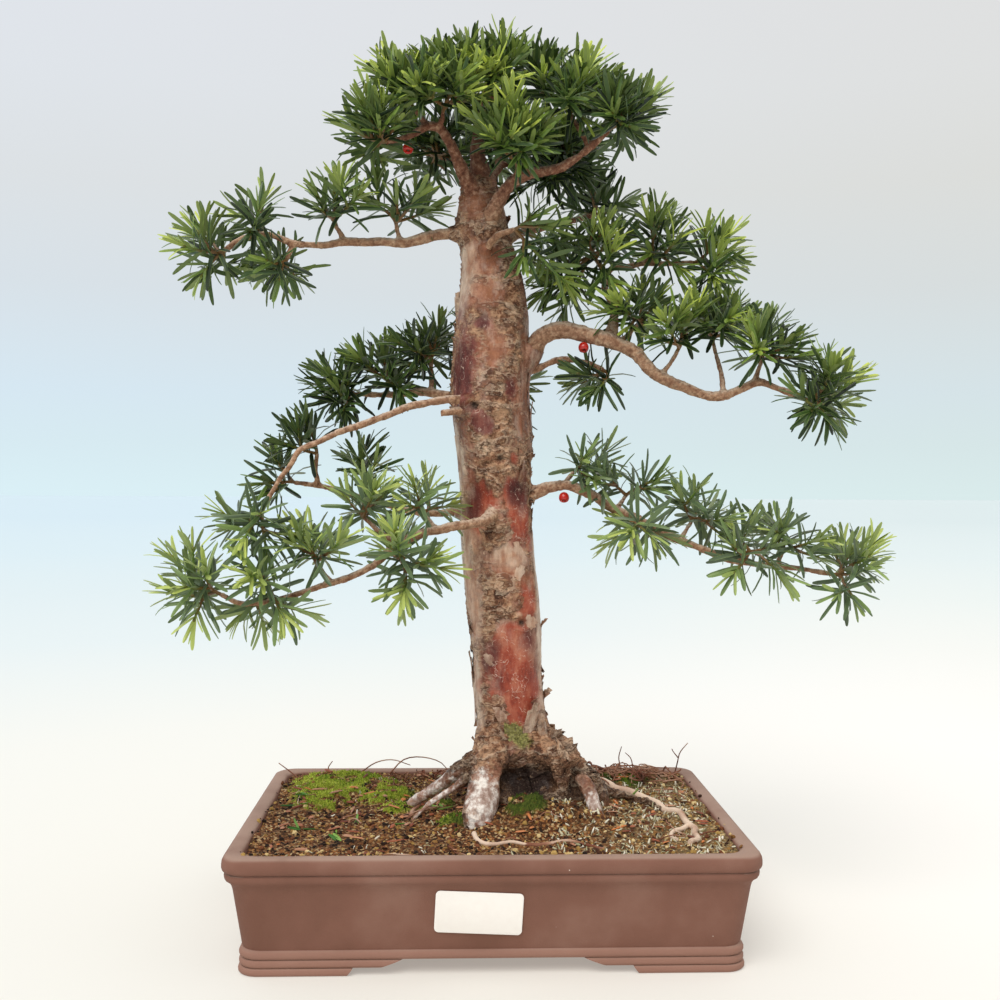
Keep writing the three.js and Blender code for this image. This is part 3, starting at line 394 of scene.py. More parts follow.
class Bench:
    """The hand tools that every piece is modelled with."""

    @staticmethod
    def hold(*pieces: Piece) -> None:
        """Selects these pieces alone, the first one active."""
        bpy.ops.object.select_all(action="DESELECT")
        for piece in pieces:
            piece.select_set(True)
        bpy.context.view_layer.objects.active = pieces[0]

    @staticmethod
    @contextmanager
    def editing(piece: Piece, kind: str = "VERT", whole: bool = True) -> Iterator[None]:
        """Opens a piece in edit mode.

        Args:
            piece: the mesh to edit.
            kind: what is selected there: VERT, EDGE or FACE.
            whole: whether everything is selected, or only what was before.
        """
        Bench.hold(piece)
        bpy.ops.object.mode_set(mode="EDIT")
        bpy.ops.mesh.select_mode(type=kind)
        if whole:
            bpy.ops.mesh.select_all(action="SELECT")
        yield
        bpy.ops.object.mode_set(mode="OBJECT")

    @staticmethod
    def pick(piece: Piece, part: str, chosen: Sequence[bool]) -> None:
        """Selects some of a piece's vertices or polygons and nothing else, in object mode."""
        for kind in ("vertices", "edges", "polygons"):
            items = getattr(piece.data, kind)
            items.foreach_set("select", chosen if kind == part else [False] * len(items))

    @staticmethod
    def extrude(x: float, y: float, z: float) -> None:
        """Extrudes what is selected along a way."""
        bpy.ops.mesh.extrude_region_move(TRANSFORM_OT_translate={"value": (x, y, z)})

    @staticmethod
    def resize(x: float, y: float, z: float = 1.0, about: Point = (0, 0, 0)) -> None:
        """Resizes what is selected about a point."""
        bpy.ops.transform.resize(value=(x, y, z), center_override=about)

    @staticmethod
    def close() -> None:
        """Turns all faces of a closed shape outwards."""
        bpy.ops.mesh.select_all(action="SELECT")
        bpy.ops.mesh.normals_make_consistent(inside=False)

    @staticmethod
    def raise_rows(rows: Sequence[Sequence[float]]) -> None:
        """Extrudes the selected face from row to row, each its X, height, width and depth, into a closed shape."""
        for (x0, z0, w0, d0), (x1, z1, w1, d1) in pairwise(rows):
            Bench.extrude(x1 - x0, 0, z1 - z0)
            Bench.resize(w1 / w0, d1 / d0, 1, (x1, 0, z1))
        Bench.close()

    @staticmethod
    def disc(sides: int, radius: float = 1.0, x: float = 0.0) -> Piece:
        """Makes one flat face with many sides, and its middle at this X."""
        bpy.ops.mesh.primitive_circle_add(vertices=sides, radius=radius, fill_type="NGON", location=(x, 0, 0))
        return bpy.context.object

    @staticmethod
    def rounded(width: float, depth: float, corner: float, steps: int) -> Piece:
        """Makes a flat rectangle with round corners, each in some steps."""
        bpy.ops.mesh.primitive_plane_add(size=1, location=(0, 0, 0))
        piece = bpy.context.object
        with Bench.editing(piece):
            Bench.resize(width, depth)
            bpy.ops.mesh.bevel(affect="VERTICES", offset=corner, segments=steps)
        return piece

    @staticmethod
    def apply(piece: Piece, kind: str, **settings: object) -> None:
        """Adds a modifier and applies it.

        Args:
            piece: the mesh that it works on.
            kind: the modifier's type.
            settings: its settings by name.
        """
        modifier = piece.modifiers.new(kind.title(), kind)
        for name, value in settings.items():
            setattr(modifier, name, value)
        Bench.hold(piece)
        bpy.ops.object.modifier_apply(modifier=modifier.name)

    @staticmethod
    def knit(piece: Piece, size: float, rounds: int) -> None:
        """Makes one skin of shapes that overlap, in cells of this size, and smooths it some rounds."""
        Bench.apply(piece, "REMESH", mode="VOXEL", voxel_size=size, use_smooth_shade=True)
        Bench.apply(piece, "SMOOTH", factor=0.5, iterations=rounds)

    @staticmethod
    def cut(piece: Piece, other: Piece, way: str = "DIFFERENCE") -> None:
        """Joins or cuts a piece with another one, which is then removed."""
        Bench.apply(piece, "BOOLEAN", object=other, operation=way, solver="EXACT")
        bpy.data.objects.remove(other)

    @staticmethod
    def join(*pieces: Piece) -> Piece:
        """Joins pieces into the first one, which it returns."""
        Bench.hold(*pieces)
        bpy.ops.object.join()
        return pieces[0]

    @staticmethod
    def shade(piece: Piece, degrees: float = 180.0) -> None:
        """Smooths the shading across edges that bend less than this angle."""
        Bench.hold(piece)
        bpy.ops.object.shade_smooth_by_angle(angle=math.radians(degrees))

    @staticmethod
    def link(name: str, data: ID) -> Piece:
        """Makes an object of this data in the scene."""
        piece = bpy.data.objects.new(name, data)
        bpy.context.scene.collection.objects.link(piece)
        return piece

    @staticmethod
    def mesh(points: Rows, edges: Sequence[tuple[int, int]], faces: Sequence[Sequence[int]]) -> Piece:
        """Makes a mesh from points in metres, and the points of its edges or faces."""
        data = bpy.data.meshes.new("mesh")
        data.from_pydata(points, edges, faces)
        return Bench.link("mesh", data)

    @staticmethod
    def bars(lines: Sequence[tuple[Rows, Rows]], fineness: int) -> Piece:
        """Makes round closed bars along lines, as a bevelled curve turned into a mesh.

        Args:
            lines: for each bar its points in metres and its radius at each point.
            fineness: the bevel's resolution. A bar has four sides and two more for each step of it.

        Returns:
            One mesh that holds all the bars.
        """
        data = bpy.data.curves.new("bars", "CURVE")
        data.dimensions = "3D"
        data.bevel_depth = 1.0
        data.bevel_resolution = fineness
        data.use_fill_caps = True
        for points, radii in lines:
            spline = data.splines.new("POLY")
            spline.points.add(len(points) - 1)
            spline.points.foreach_set("co", np.column_stack([points, np.ones(len(points))]).ravel())
            spline.points.foreach_set("radius", np.asarray(radii, float))
        Bench.hold(Bench.link("bars", data))
        bpy.ops.object.convert(target="MESH")
        return bpy.context.object

    @staticmethod
    def points(piece: Piece, kind: str = "co") -> Rows:
        """The places of a mesh's vertices, or their normals, as rows."""
        flat = np.empty(len(piece.data.vertices) * 3)
        piece.data.vertices.foreach_get(kind, flat)
        return flat.reshape(-1, 3)

    @staticmethod
    def move(piece: Piece, points: Rows) -> None:
        """Puts a mesh's vertices where the rows say."""
        piece.data.vertices.foreach_set("co", points.ravel())
        piece.data.update()

    @staticmethod
    def mark(piece: Piece, **values: Rows) -> None:
        """Stores a number at each vertex under each name, for a finish to read."""
        for name, numbers in values.items():
            store = piece.data.attributes.new(name, "FLOAT", "POINT")
            store.data.foreach_set("value", np.asarray(numbers, np.float32))

    @staticmethod
    def settle(piece: Piece, name: str, slot: str, finish: Material, stands_for: Sequence[str] = ()) -> None:
        """Dresses a finished piece and fixes it to the model.

        Args:
            piece: the mesh, modelled round the pot's middle.
            name: its name from here on.
            slot: the record's material slot that it belongs to; it is not used.
            finish: its material.
            stands_for: the nodes of the model that it replaces.
        """
        Bench.hold(piece)
        bpy.ops.object.transform_apply(location=True, rotation=True, scale=True)
        piece.data.transform(Matrix.Translation(HOME))
        piece.name = piece.data.name = name
        piece.data.materials.clear()
        piece.data.materials.append(finish)
        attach(piece, BODY)
        if stands_for:
            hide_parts(*stands_for)
        piece.data.calc_loop_triangles()
        LOG.info("%s: %d triangles", name, len(piece.data.loop_triangles))


@dataclass(frozen=True)
class Pattern:
    """A small shape that is modelled once and then copied many times."""

    points: Rows
    faces: list[tuple[int, ...]]

    @classmethod
    def taken_from(cls, piece: Piece) -> "Pattern":
        """Takes the shape of a mesh and removes its object."""
        pattern = cls(Bench.points(piece), [tuple(face.vertices) for face in piece.data.polygons])
        bpy.data.objects.remove(piece)
        return pattern

    def strew(self, copies: Rows, **marks: Rows) -> Piece:
        """Makes one mesh of many copies, each with its own points.

        Args:
            copies: the points of every copy, copy by copy.
            marks: a number for each copy under each name, for a finish to read.

        Returns:
            The new object.
        """
        count = len(self.points)
        faces = [tuple(i + copy * count for i in face) for copy in range(len(copies)) for face in self.faces]
        piece = Bench.mesh(copies.reshape(-1, 3), [], faces)
        Bench.mark(piece, **{name: np.repeat(numbers, count) for name, numbers in marks.items()})
        return piece

    def placed(self, seats: Rows, frames: Rows, sizes: Rows) -> Rows:
        """The points of copies that are only sized, turned and put in place.

        Args:
            seats: where each copy's own origin goes.
            frames: for each copy the ways that its X, Y and Z go, as rows.
            sizes: its size along its own X, Y and Z.

        Returns:
            The points of every copy, copy by copy.
        """
        return seats[:, None] + np.einsum("nvi,nij->nvj", self.points[None] * sizes[:, None], frames)


class NodeSheet:
    """The nodes of one material, or of the sky, added one after another.

    Args:
        name: what the material or the sky is called.
        sky: whether it is the sky.
    """

    def __init__(self, name: str, sky: bool = False) -> None:
        """Makes the owner of the nodes, with its shader."""
        self.owner = (bpy.data.worlds if sky else bpy.data.materials).new(name)
        self.owner.use_nodes = True
        self.tree = self.owner.node_tree
        self.shader = self.tree.nodes["Background" if sky else "Principled BSDF"]
        self.place = self.add("ShaderNodeTexCoord").outputs["Generated" if sky else "Object"]

    def add(self, kind: str, **settings: object) -> Node:
        """Adds a node with these settings."""
        node = self.tree.nodes.new(kind)
        for name, value in settings.items():
            setattr(node, name, value)
        return node

    def feed(self, node: Node, **values: object) -> None:
        """Links a node's inputs, or sets those whose value is a plain number or colour.

        Args:
            node: the node.
            values: what each input gets. Low lines stand for the spaces in its name, and n0 is the first input.
        """
        for name, value in values.items():
            socket = node.inputs[int(name[1:]) if name[1:].isdigit() else name.replace("_", " ")]
            if isinstance(value, Socket):
                self.tree.links.new(value, socket)
            else:
                socket.default_value = colour(value) if isinstance(value, str) else value

    def finish(
        self, tone: Socket, rough: object, normal: Socket | None, shine: float = 0.5, **more: object
    ) -> Material:
        """Feeds the shader.

        Args:
            tone: the colour.
            rough: how rough the surface is.
            normal: the way that it faces.
            shine: how strongly it mirrors.
            more: other inputs of the shader by name.

        Returns:
            The material.
        """
        self.feed(self.shader, Base_Color=tone, Roughness=rough, Specular_IOR_Level=shine, **more)
        if normal is not None:
            self.feed(self.shader, Normal=normal)
        return self.owner

    def stretched(self, x: float, y: float, z: float) -> Socket:
        """Coordinates that make a pattern longer by these factors."""
        node = self.add("ShaderNodeMapping")
        self.feed(node, Vector=self.place, Scale=(1 / x, 1 / y, 1 / z))
        return node.outputs[0]

    def parts(self, vector: Socket | None = None) -> Sequence[Socket]:
        """The X, Y and Z of a vector, or else of the place."""
        node = self.add("ShaderNodeSeparateXYZ")
        self.feed(node, n0=vector or self.place)
        return node.outputs

    def upward(self) -> Socket:
        """How far the surface faces up."""
        return self.parts(self.add("ShaderNodeNewGeometry").outputs["Normal"])[2]

    def noise(self, size: float, detail: float = 3.0, rough: float = 0.55, place: Socket | None = None) -> Socket:
        """Cloudy noise from 0 to 1, with lumps of a given size in metres."""
        node = self.add("ShaderNodeTexNoise")
        self.feed(node, Vector=place or self.place, Scale=1 / size, Detail=detail, Roughness=rough)
        return node.outputs["Fac"]

    def cells(self, size: float) -> tuple[Socket, Socket]:
        """A cell pattern: how far each place is from its cell's middle, in cell sizes, and its cell's colour."""
        node = self.add("ShaderNodeTexVoronoi", feature="F1")
        self.feed(node, Vector=self.place, Scale=1 / size)
        return node.outputs["Distance"], node.outputs["Color"]

    def dots(self, size: float, reach: float, share: float) -> Socket:
        """Scattered round dots.

        Args:
            size: how far apart they can be, in metres.
            reach: a dot's radius, in metres.
            share: the share of the places that bear one.

        Returns:
            A value that is 1 on a dot and 0 elsewhere.
        """
        away, pick = self.cells(size)
        return self.times(self.band(away, reach / size, 0.5 * reach / size), self.maths("LESS_THAN", pick, share))

    def attribute(self, name: str) -> Socket:
        """A number that the mesh stores at its vertices."""
        return self.add("ShaderNodeAttribute", attribute_name=name).outputs["Fac"]

    def maths(self, way: str, first: object, second: object = 0.0) -> Socket:
        """One sum of two values."""
        node = self.add("ShaderNodeMath", operation=way)
        self.feed(node, n0=first, n1=second)
        return node.outputs[0]

    def times(self, first: object, second: object) -> Socket:
        """Multiplies two values."""
        return self.maths("MULTIPLY", first, second)

    def plus(self, first: object, second: object) -> Socket:
        """Adds two values."""
        return self.maths("ADD", first, second)

    def minus(self, first: object, second: object) -> Socket:
        """Takes the second value from the first."""
        return self.maths("SUBTRACT", first, second)

    def band(self, value: object, low: float, high: float, way: str = "SMOOTHSTEP", first: float = 0.0) -> Socket:
        """Goes from 0, or another first value, to 1 as the value goes from low to high."""
        node = self.add("ShaderNodeMapRange", interpolation_type=way)
        self.feed(node, Value=value, From_Min=low, From_Max=high, To_Min=first)
        return node.outputs[0]

    def edge(self, name: str, noise: Socket, wobble: float, soft: float) -> Socket:
        """Turns a stored field into a patch with a ragged edge where the field is a half.

        Args:
            name: the stored field.
            noise: what makes the edge ragged.
            wobble: how far the noise moves the edge.
            soft: how soft the edge is.

        Returns:
            A value that is 1 inside the patch and 0 outside.
        """
        ragged = self.times(self.minus(noise, 0.5), wobble)
        return self.band(self.plus(self.attribute(name), ragged), 0.5 - soft, 0.5 + soft)

    def ramp(self, value: object, places: Sequence[float], colours: Tones) -> Socket:
        """Colours by value, each colour at its place."""
        node = self.add("ShaderNodeValToRGB")
        self.feed(node, n0=value)
        elements = node.color_ramp.elements
        for i, (place, code) in enumerate(zip(places, colours)):
            element = elements[i] if i < 2 else elements.new(place)
            element.position, element.color = place, colour(code)
        return node.outputs["Color"]

    def mix(self, share: object, first: object, second: object, way: str = "MIX") -> Socket:
        """Blends two colours."""
        node = self.add("ShaderNodeMix", data_type="RGBA", blend_type=way, clamp_factor=True)
        self.feed(node, n0=share, n6=first, n7=second)
        return node.outputs[2]

    def tint(self, under: object, over: object, share: object, most: float = 1.0) -> Socket:
        """Lays a colour over another by a share, and that share at most to a given strength."""
        return self.mix(share if most == 1.0 else self.times(share, most), under, over)

    def relief(self, height: object, depth: float, under: Socket | None = None) -> Socket:
        """Bends the normal by a height.

        Args:
            height: a value from 0 to 1.
            depth: how deep the full height is, in metres.
            under: the relief that this one lies on.

        Returns:
            The normal.
        """
        node = self.add("ShaderNodeBump")
        self.feed(node, Height=height, Distance=depth)
        if under is not None:
            self.feed(node, Normal=under)
        return node.outputs[0]


@dataclass(frozen=True)
class ClayFinish:
    """Unglazed red-brown clay with fine grit, white specks, small dark pits, and painted top light in patches on faces
    that look up.
    """

    body: Tones = ("#765041", "#81594a", "#8f6a5b")
    foot: str = "#a17a6a"
    # Painted top light, laid in patches on faces that look up
    clay_top_light: str = "#bba494"
    speck: str = "#e9dfd2"
    pit: str = "#2c1a14"

    def material(self) -> Material:
        """Builds the material."""
        sheet = NodeSheet("unglazed_clay")
        broad = sheet.noise(60 * MM, 4)
        grit = sheet.noise(1.1 * MM, 5, 0.7)
        tone = sheet.ramp(broad, (0.32, 0.5, 0.7), self.body)
        tone = sheet.tint(tone, self.body[2], sheet.band(grit, 0.5, 0.8), 0.35)
        tone = sheet.tint(tone, self.body[0], sheet.band(grit, 0.45, 0.2), 0.3)
        # Lighter in patches on faces that look up: painted top light
        top_light_share = sheet.times(sheet.band(sheet.upward(), 0.5, 0.95), sheet.band(broad, 0.1, 0.55))
        tone = sheet.tint(tone, self.clay_top_light, top_light_share, 0.5)
        tone = sheet.tint(tone, self.foot, sheet.band(sheet.parts()[2], 15 * MM, 13 * MM), 0.6)
        pits = sheet.dots(15 * MM, 0.7 * MM, 0.3)
        tone = sheet.tint(tone, self.pit, pits)
        tone = sheet.tint(tone, self.speck, sheet.dots(12 * MM, 0.42 * MM, 0.3))
        normal = sheet.relief(sheet.minus(1.0, pits), 0.5 * MM, sheet.relief(grit, 0.22 * MM))
        return sheet.finish(tone, sheet.band(grit, -0.6, 0.9), normal, 0.35)


@dataclass(frozen=True)
class BarkFinish:
    """Peeling yew bark: tan skin in thin layers, brown scales, red and maroon new bark, and a little moss."""

    skin: Tones = ("#5a3626", "#8b5a43", "#c09077")
    pale: Tones = ("#a9836b", "#dcc3ab")
    scales: Tones = ("#452a1c", "#875a3e", "#c19775")
    red: Tones = ("#74281c", "#a34831", "#c37b5e")
    maroon: Tones = ("#3f1715", "#672e27", "#905446")
    amber: Tones = ("#8c4c2f", "#bf7a50")
    bleach: Tones = ("#826251", "#b8a094", "#f4ece3")
    earth: Tones = ("#20130b", "#593c29", "#9b7857")
    lichen: Tones = ("#45461f", "#a09b58")
    lip: str = "#e3cbb0"
    vein: str = "#dcbba8"
    shade: str = "#2a1810"
    film: str = "#d2b9a6"

    def _layers(self, sheet: NodeSheet, size: float, count: float, climb: float) -> tuple[Socket, Socket, Socket]:
        """Layers of bark whose lower edges stand off.

        Args:
            sheet: the material's nodes.
            size: how large the lumps of their outline are, in metres.
            count: how many layers the lumps cross.
            climb: the height of one layer on a plain trunk, in metres.

        Returns:
            The layers' height, their pale lips and the shade under these, each from 0 to 1.
        """
        outline = sheet.noise(size, 4, 0.62, sheet.stretched(1.5, 1.5, 0.8))
        climbing = sheet.maths("DIVIDE", sheet.parts()[2], climb)
        part = sheet.maths("FRACT", sheet.plus(sheet.times(outline, count), climbing))
        return sheet.minus(1.0, part), sheet.band(part, 0.26, 0.05), sheet.band(part, 0.7, 0.95)

    def material(self) -> Material:
        """Builds the material."""
        sheet = NodeSheet("peeling_bark")
        fine = sheet.noise(1.2 * MM, 5, 0.72)
        small = sheet.noise(4 * MM, 4, 0.62)
        streak = sheet.noise(5 * MM, 4, 0.62, sheet.stretched(1, 1, 3.0))
        broad = sheet.noise(19 * MM, 4, 0.6)
        shade = sheet.times(sheet.plus(streak, broad), 0.5)
        skin = sheet.ramp(shade, (0.36, 0.5, 0.63), self.skin)
        pale = sheet.ramp(streak, (0.38, 0.6), self.pale)
        skin = sheet.tint(skin, pale, sheet.edge("pale", small, 0.5, 0.2))
        amber = sheet.ramp(small, (0.35, 0.62), self.amber)
        skin = sheet.tint(skin, amber, sheet.edge("amber", broad, 0.8, 0.25), 0.4)
        red = sheet.ramp(shade, (0.38, 0.5, 0.66), self.red)
        maroon = sheet.ramp(shade, (0.36, 0.5, 0.66), self.maroon)
        red = sheet.tint(red, maroon, sheet.edge("maroon", broad, 0.7, 0.2))
        across = sheet.maths("ABSOLUTE", sheet.minus(sheet.noise(13 * MM, 3, 0.6), 0.5))
        veins = sheet.times(sheet.band(across, 0.011, 0.003), sheet.band(small, 0.42, 0.58))
        red = sheet.tint(red, self.vein, veins, 0.7)
        red = sheet.tint(red, self.skin[2], sheet.band(streak, 0.62, 0.8), 0.4)
        film = sheet.noise(9 * MM, 5, 0.65, sheet.stretched(1, 1, 2.2))
        film = sheet.times(sheet.band(film, 0.5, 0.68), 0.42)
        skin = sheet.tint(skin, self.film, film)
        red = sheet.tint(red, self.film, film, 0.45)
        redness = sheet.edge("red", broad, 0.6, 0.2)
        tone = sheet.tint(skin, red, redness)
        height_1, lip_1, shade_1 = self._layers(sheet, 22 * MM, 5.0, 20 * MM)
        height_2, lip_2, shade_2 = self._layers(sheet, 11 * MM, 3.2, 13 * MM)
        scaly = sheet.edge("scaly", small, 0.45, 0.12)
        mottle = sheet.times(sheet.plus(fine, small), 0.5)
        away, pick = sheet.cells(5.5 * MM)
        mottle = sheet.plus(mottle, sheet.times(sheet.minus(pick, 0.5), 0.3))
        mottle = sheet.plus(mottle, sheet.times(sheet.band(away, 0.42, 0.62), 0.12))
        scales = sheet.ramp(mottle, (0.36, 0.5, 0.64), self.scales)
        tone = sheet.tint(tone, scales, scaly, 0.85)
        soil_brown = sheet.ramp(fine, (0.32, 0.5, 0.7), self.earth)
        tone = sheet.tint(tone, soil_brown, sheet.edge("earth", small, 0.6, 0.2))
        rub = sheet.ramp(sheet.times(sheet.plus(small, streak), 0.5), (0.38, 0.48, 0.58), self.bleach)
        tone = sheet.tint(tone, rub, sheet.edge("bleach", small, 0.9, 0.14))
        flaky = sheet.band(sheet.plus(sheet.attribute("scaly"), sheet.times(broad, 0.5)), 0.42, 0.72)
        flaky = sheet.times(flaky, sheet.minus(1.0, sheet.times(redness, 0.7)))
        tone = sheet.tint(tone, self.lip, sheet.times(lip_1, flaky), 0.34)
        tone = sheet.tint(tone, self.shade, sheet.times(shade_1, flaky), 0.4)
        tone = sheet.tint(tone, self.lip, sheet.times(lip_2, scaly), 0.3)
        tone = sheet.tint(tone, self.shade, sheet.times(shade_2, scaly), 0.45)
        moss = sheet.ramp(fine, (0.35, 0.6), self.lichen)
        tone = sheet.tint(tone, moss, sheet.edge("lichen", fine, 0.7, 0.12))
        # Dark cracks, and painted shade in the hollow and the knot holes
        tone = sheet.tint(tone, self.shade, sheet.attribute("crack"))
        tone = sheet.tint(tone, self.shade, sheet.band(fine, 0.43, 0.28), 0.45)
        tone = sheet.tint(tone, self.lip, sheet.band(fine, 0.56, 0.7), 0.3)
        normal = sheet.relief(sheet.times(height_1, flaky), 1.6 * MM)
        normal = sheet.relief(sheet.times(height_2, scaly), 1.2 * MM, normal)
        normal = sheet.relief(fine, 0.3 * MM, sheet.relief(small, 0.5 * MM, normal))
        return sheet.finish(tone, sheet.plus(0.46, sheet.times(scaly, 0.4)), normal, 0.35)


@dataclass(frozen=True)
class TwigFinish:
    """The bark of branches: pale and flaky where they are thick, orange-brown and scaly where they are young, with
    painted light on their tops and painted shade inside the crown.
    """

    old: Tones = ("#835c45", "#ae8467", "#d8b695")
    young: Tones = ("#7a513b", "#a87d5f", "#d2ab8b")
    russet: Tones = ("#5a3426", "#8c5b44", "#c0977a")
    # Dark cracks, and painted shade on the branches inside the crown
    crack: str = "#3a241a"
    # Painted top light on faces that look up
    twig_top_light: str = "#e3d0bb"

    def material(self) -> Material:
        """Builds the material."""
        sheet = NodeSheet("branch_bark")
        fine = sheet.noise(1.0 * MM, 5, 0.7)
        small = sheet.noise(3.4 * MM, 5, 0.7)
        old = sheet.ramp(small, (0.32, 0.5, 0.7), self.old)
        young = sheet.ramp(small, (0.32, 0.5, 0.68), self.young)
        tone = sheet.tint(old, young, sheet.edge("young", small, 0.5, 0.35))
        russet = sheet.attribute("russet")
        tone = sheet.tint(tone, sheet.ramp(small, (0.32, 0.5, 0.68), self.russet), russet)
        # Paler on faces that look up: painted top light
        above = sheet.times(sheet.band(sheet.upward(), 0.1, 0.9), sheet.band(small, 0.34, 0.52))
        above = sheet.times(above, sheet.minus(0.62, sheet.times(russet, 0.3)))
        tone = sheet.tint(tone, self.twig_top_light, sheet.maths("MAXIMUM", above, 0.0))
        # Dark cracks, and painted shade inside the crown
        tone = sheet.tint(tone, self.crack, sheet.attribute("crack"))
        tone = sheet.tint(tone, self.crack, sheet.band(fine, 0.44, 0.28), 0.35)
        normal = sheet.relief(fine, 0.45 * MM, sheet.relief(small, 0.8 * MM))
        return sheet.finish(tone, 0.78, normal, 0.3)


@dataclass(frozen=True)
class NeedleFinish:
    """Yew needles: dark and glossy above, pale below, bright yellow-green where they are new, and darker inside the
    sprays and at the back, which is partly painted shade.
    """

    above: Tones = ("#14230d", "#3d5626", "#7b943a", "#c6d25c")
    below: Tones = ("#4c6136", "#a1b060")
    stem: Tones = ("#6f8a3c", "#7a5a34")
    margin: str = "#a9c06a"
    bloom: str = "#93a683"

    def material(self) -> Material:
        """Builds the material."""
        sheet = NodeSheet("yew_needle")
        mottle = sheet.times(sheet.minus(sheet.noise(3 * MM, 3), 0.5), 0.18)
        shade = sheet.plus(sheet.attribute("tone"), mottle)
        above = sheet.ramp(shade, (0.05, 0.32, 0.62, 0.95), self.above)
        below = sheet.ramp(shade, (0.1, 0.9), self.below)
        above = sheet.tint(above, self.margin, sheet.band(sheet.attribute("rib"), 0.3, 0.05), 0.5)
        leaf = sheet.tint(above, below, sheet.band(sheet.attribute("under"), 0.35, 0.6))
        leaf = sheet.tint(leaf, self.bloom, sheet.attribute("bloom"))
        woody = sheet.attribute("woody")
        tone = sheet.tint(leaf, sheet.ramp(woody, (0.35, 0.7), self.stem), sheet.band(woody, 0.02, 0.05))
        return sheet.finish(tone, 0.38, sheet.relief(sheet.noise(0.8 * MM, 2), 0.06 * MM), 0.42)


@dataclass(frozen=True)
class SoilFinish:
    """Potting soil: dark humus with ochre and brown grains, greener where moss grows."""

    earth: Tones = ("#24160e", "#5f3d25", "#a8794a")
    grains: Tones = ("#1f130c", "#4d2d1c", "#804a2b", "#a8733f", "#d6ba8b")
    moss: Tones = ("#404a16", "#7f8a28", "#b8bc50")
    # The moss's painted shade, right of the left cushions
    deep: str = "#2b3817"
    dry: str = "#9a8e62"

    def material(self) -> Material:
        """Builds the material."""
        sheet = NodeSheet("potting_soil")
        fine = sheet.noise(1.2 * MM, 4, 0.7)
        small = sheet.noise(5 * MM, 4, 0.65)
        tone = sheet.ramp(fine, (0.35, 0.5, 0.68), self.earth)
        away, pick = sheet.cells(1.5 * MM)
        patch = sheet.band(sheet.noise(22 * MM, 4, 0.6), 0.35, 0.65)
        grains = sheet.ramp(pick, (0.22, 0.38, 0.52, 0.66, 0.8), self.grains)
        tone = sheet.tint(tone, grains, sheet.plus(0.3, sheet.times(patch, 0.5)))
        tone = sheet.tint(tone, self.grains[0], sheet.band(away, 0.5, 0.8), 0.6)
        side = sheet.parts()[0]
        moss = sheet.ramp(fine, (0.34, 0.5, 0.7), self.moss)
        # Moss darker right of x = -45 mm: painted shade
        moss = sheet.tint(moss, self.deep, sheet.band(side, -75 * MM, -45 * MM), 0.8)
        tone = sheet.tint(tone, self.dry, sheet.band(side, 10 * MM, 110 * MM), 0.3)
        tone = sheet.tint(tone, moss, sheet.edge("moss", small, 0.6, 0.12))
        normal = sheet.relief(fine, 0.6 * MM, sheet.relief(small, 0.8 * MM))
        return sheet.finish(tone, 0.95, normal, 0.2)


@dataclass(frozen=True)
class LitterFinish:
    """Small loose things, coloured along a row of colours by a stored tone from 0 to 1."""

    name: str
    colours: Tones
    roughness: float = 0.85

    def material(self) -> Material:
        """Builds the material."""
        sheet = NodeSheet(self.name)
        last = len(self.colours) - 1
        places = [0.04 + 0.92 * i / last for i in range(last + 1)]
        fine = sheet.noise(0.9 * MM, 3, 0.7)
        shade = sheet.times(sheet.minus(fine, 0.5), 0.3)
        tone = sheet.ramp(sheet.plus(sheet.attribute("tone"), shade), places, self.colours)
        return sheet.finish(tone, self.roughness, sheet.relief(fine, 0.2 * MM), 0.3)


@dataclass(frozen=True)
class PlainFinish:
    """A thing of one main colour with a faint mottle, and a grain whose size and depth are in metres."""

    name: str
    colours: Tones
    grain: float
    depth: float
    roughness: float
    coat: float = 0.0

    def material(self) -> Material:
        """Builds the material."""
        sheet = NodeSheet(self.name)
        grain = sheet.relief(sheet.noise(self.grain, 4, 0.6), self.depth)
        tone = sheet.ramp(sheet.noise(8 * self.grain, 3), (0.35, 0.7), self.colours)
        return sheet.finish(tone, self.roughness, grain, Coat_Weight=self.coat, Coat_Roughness=0.12)


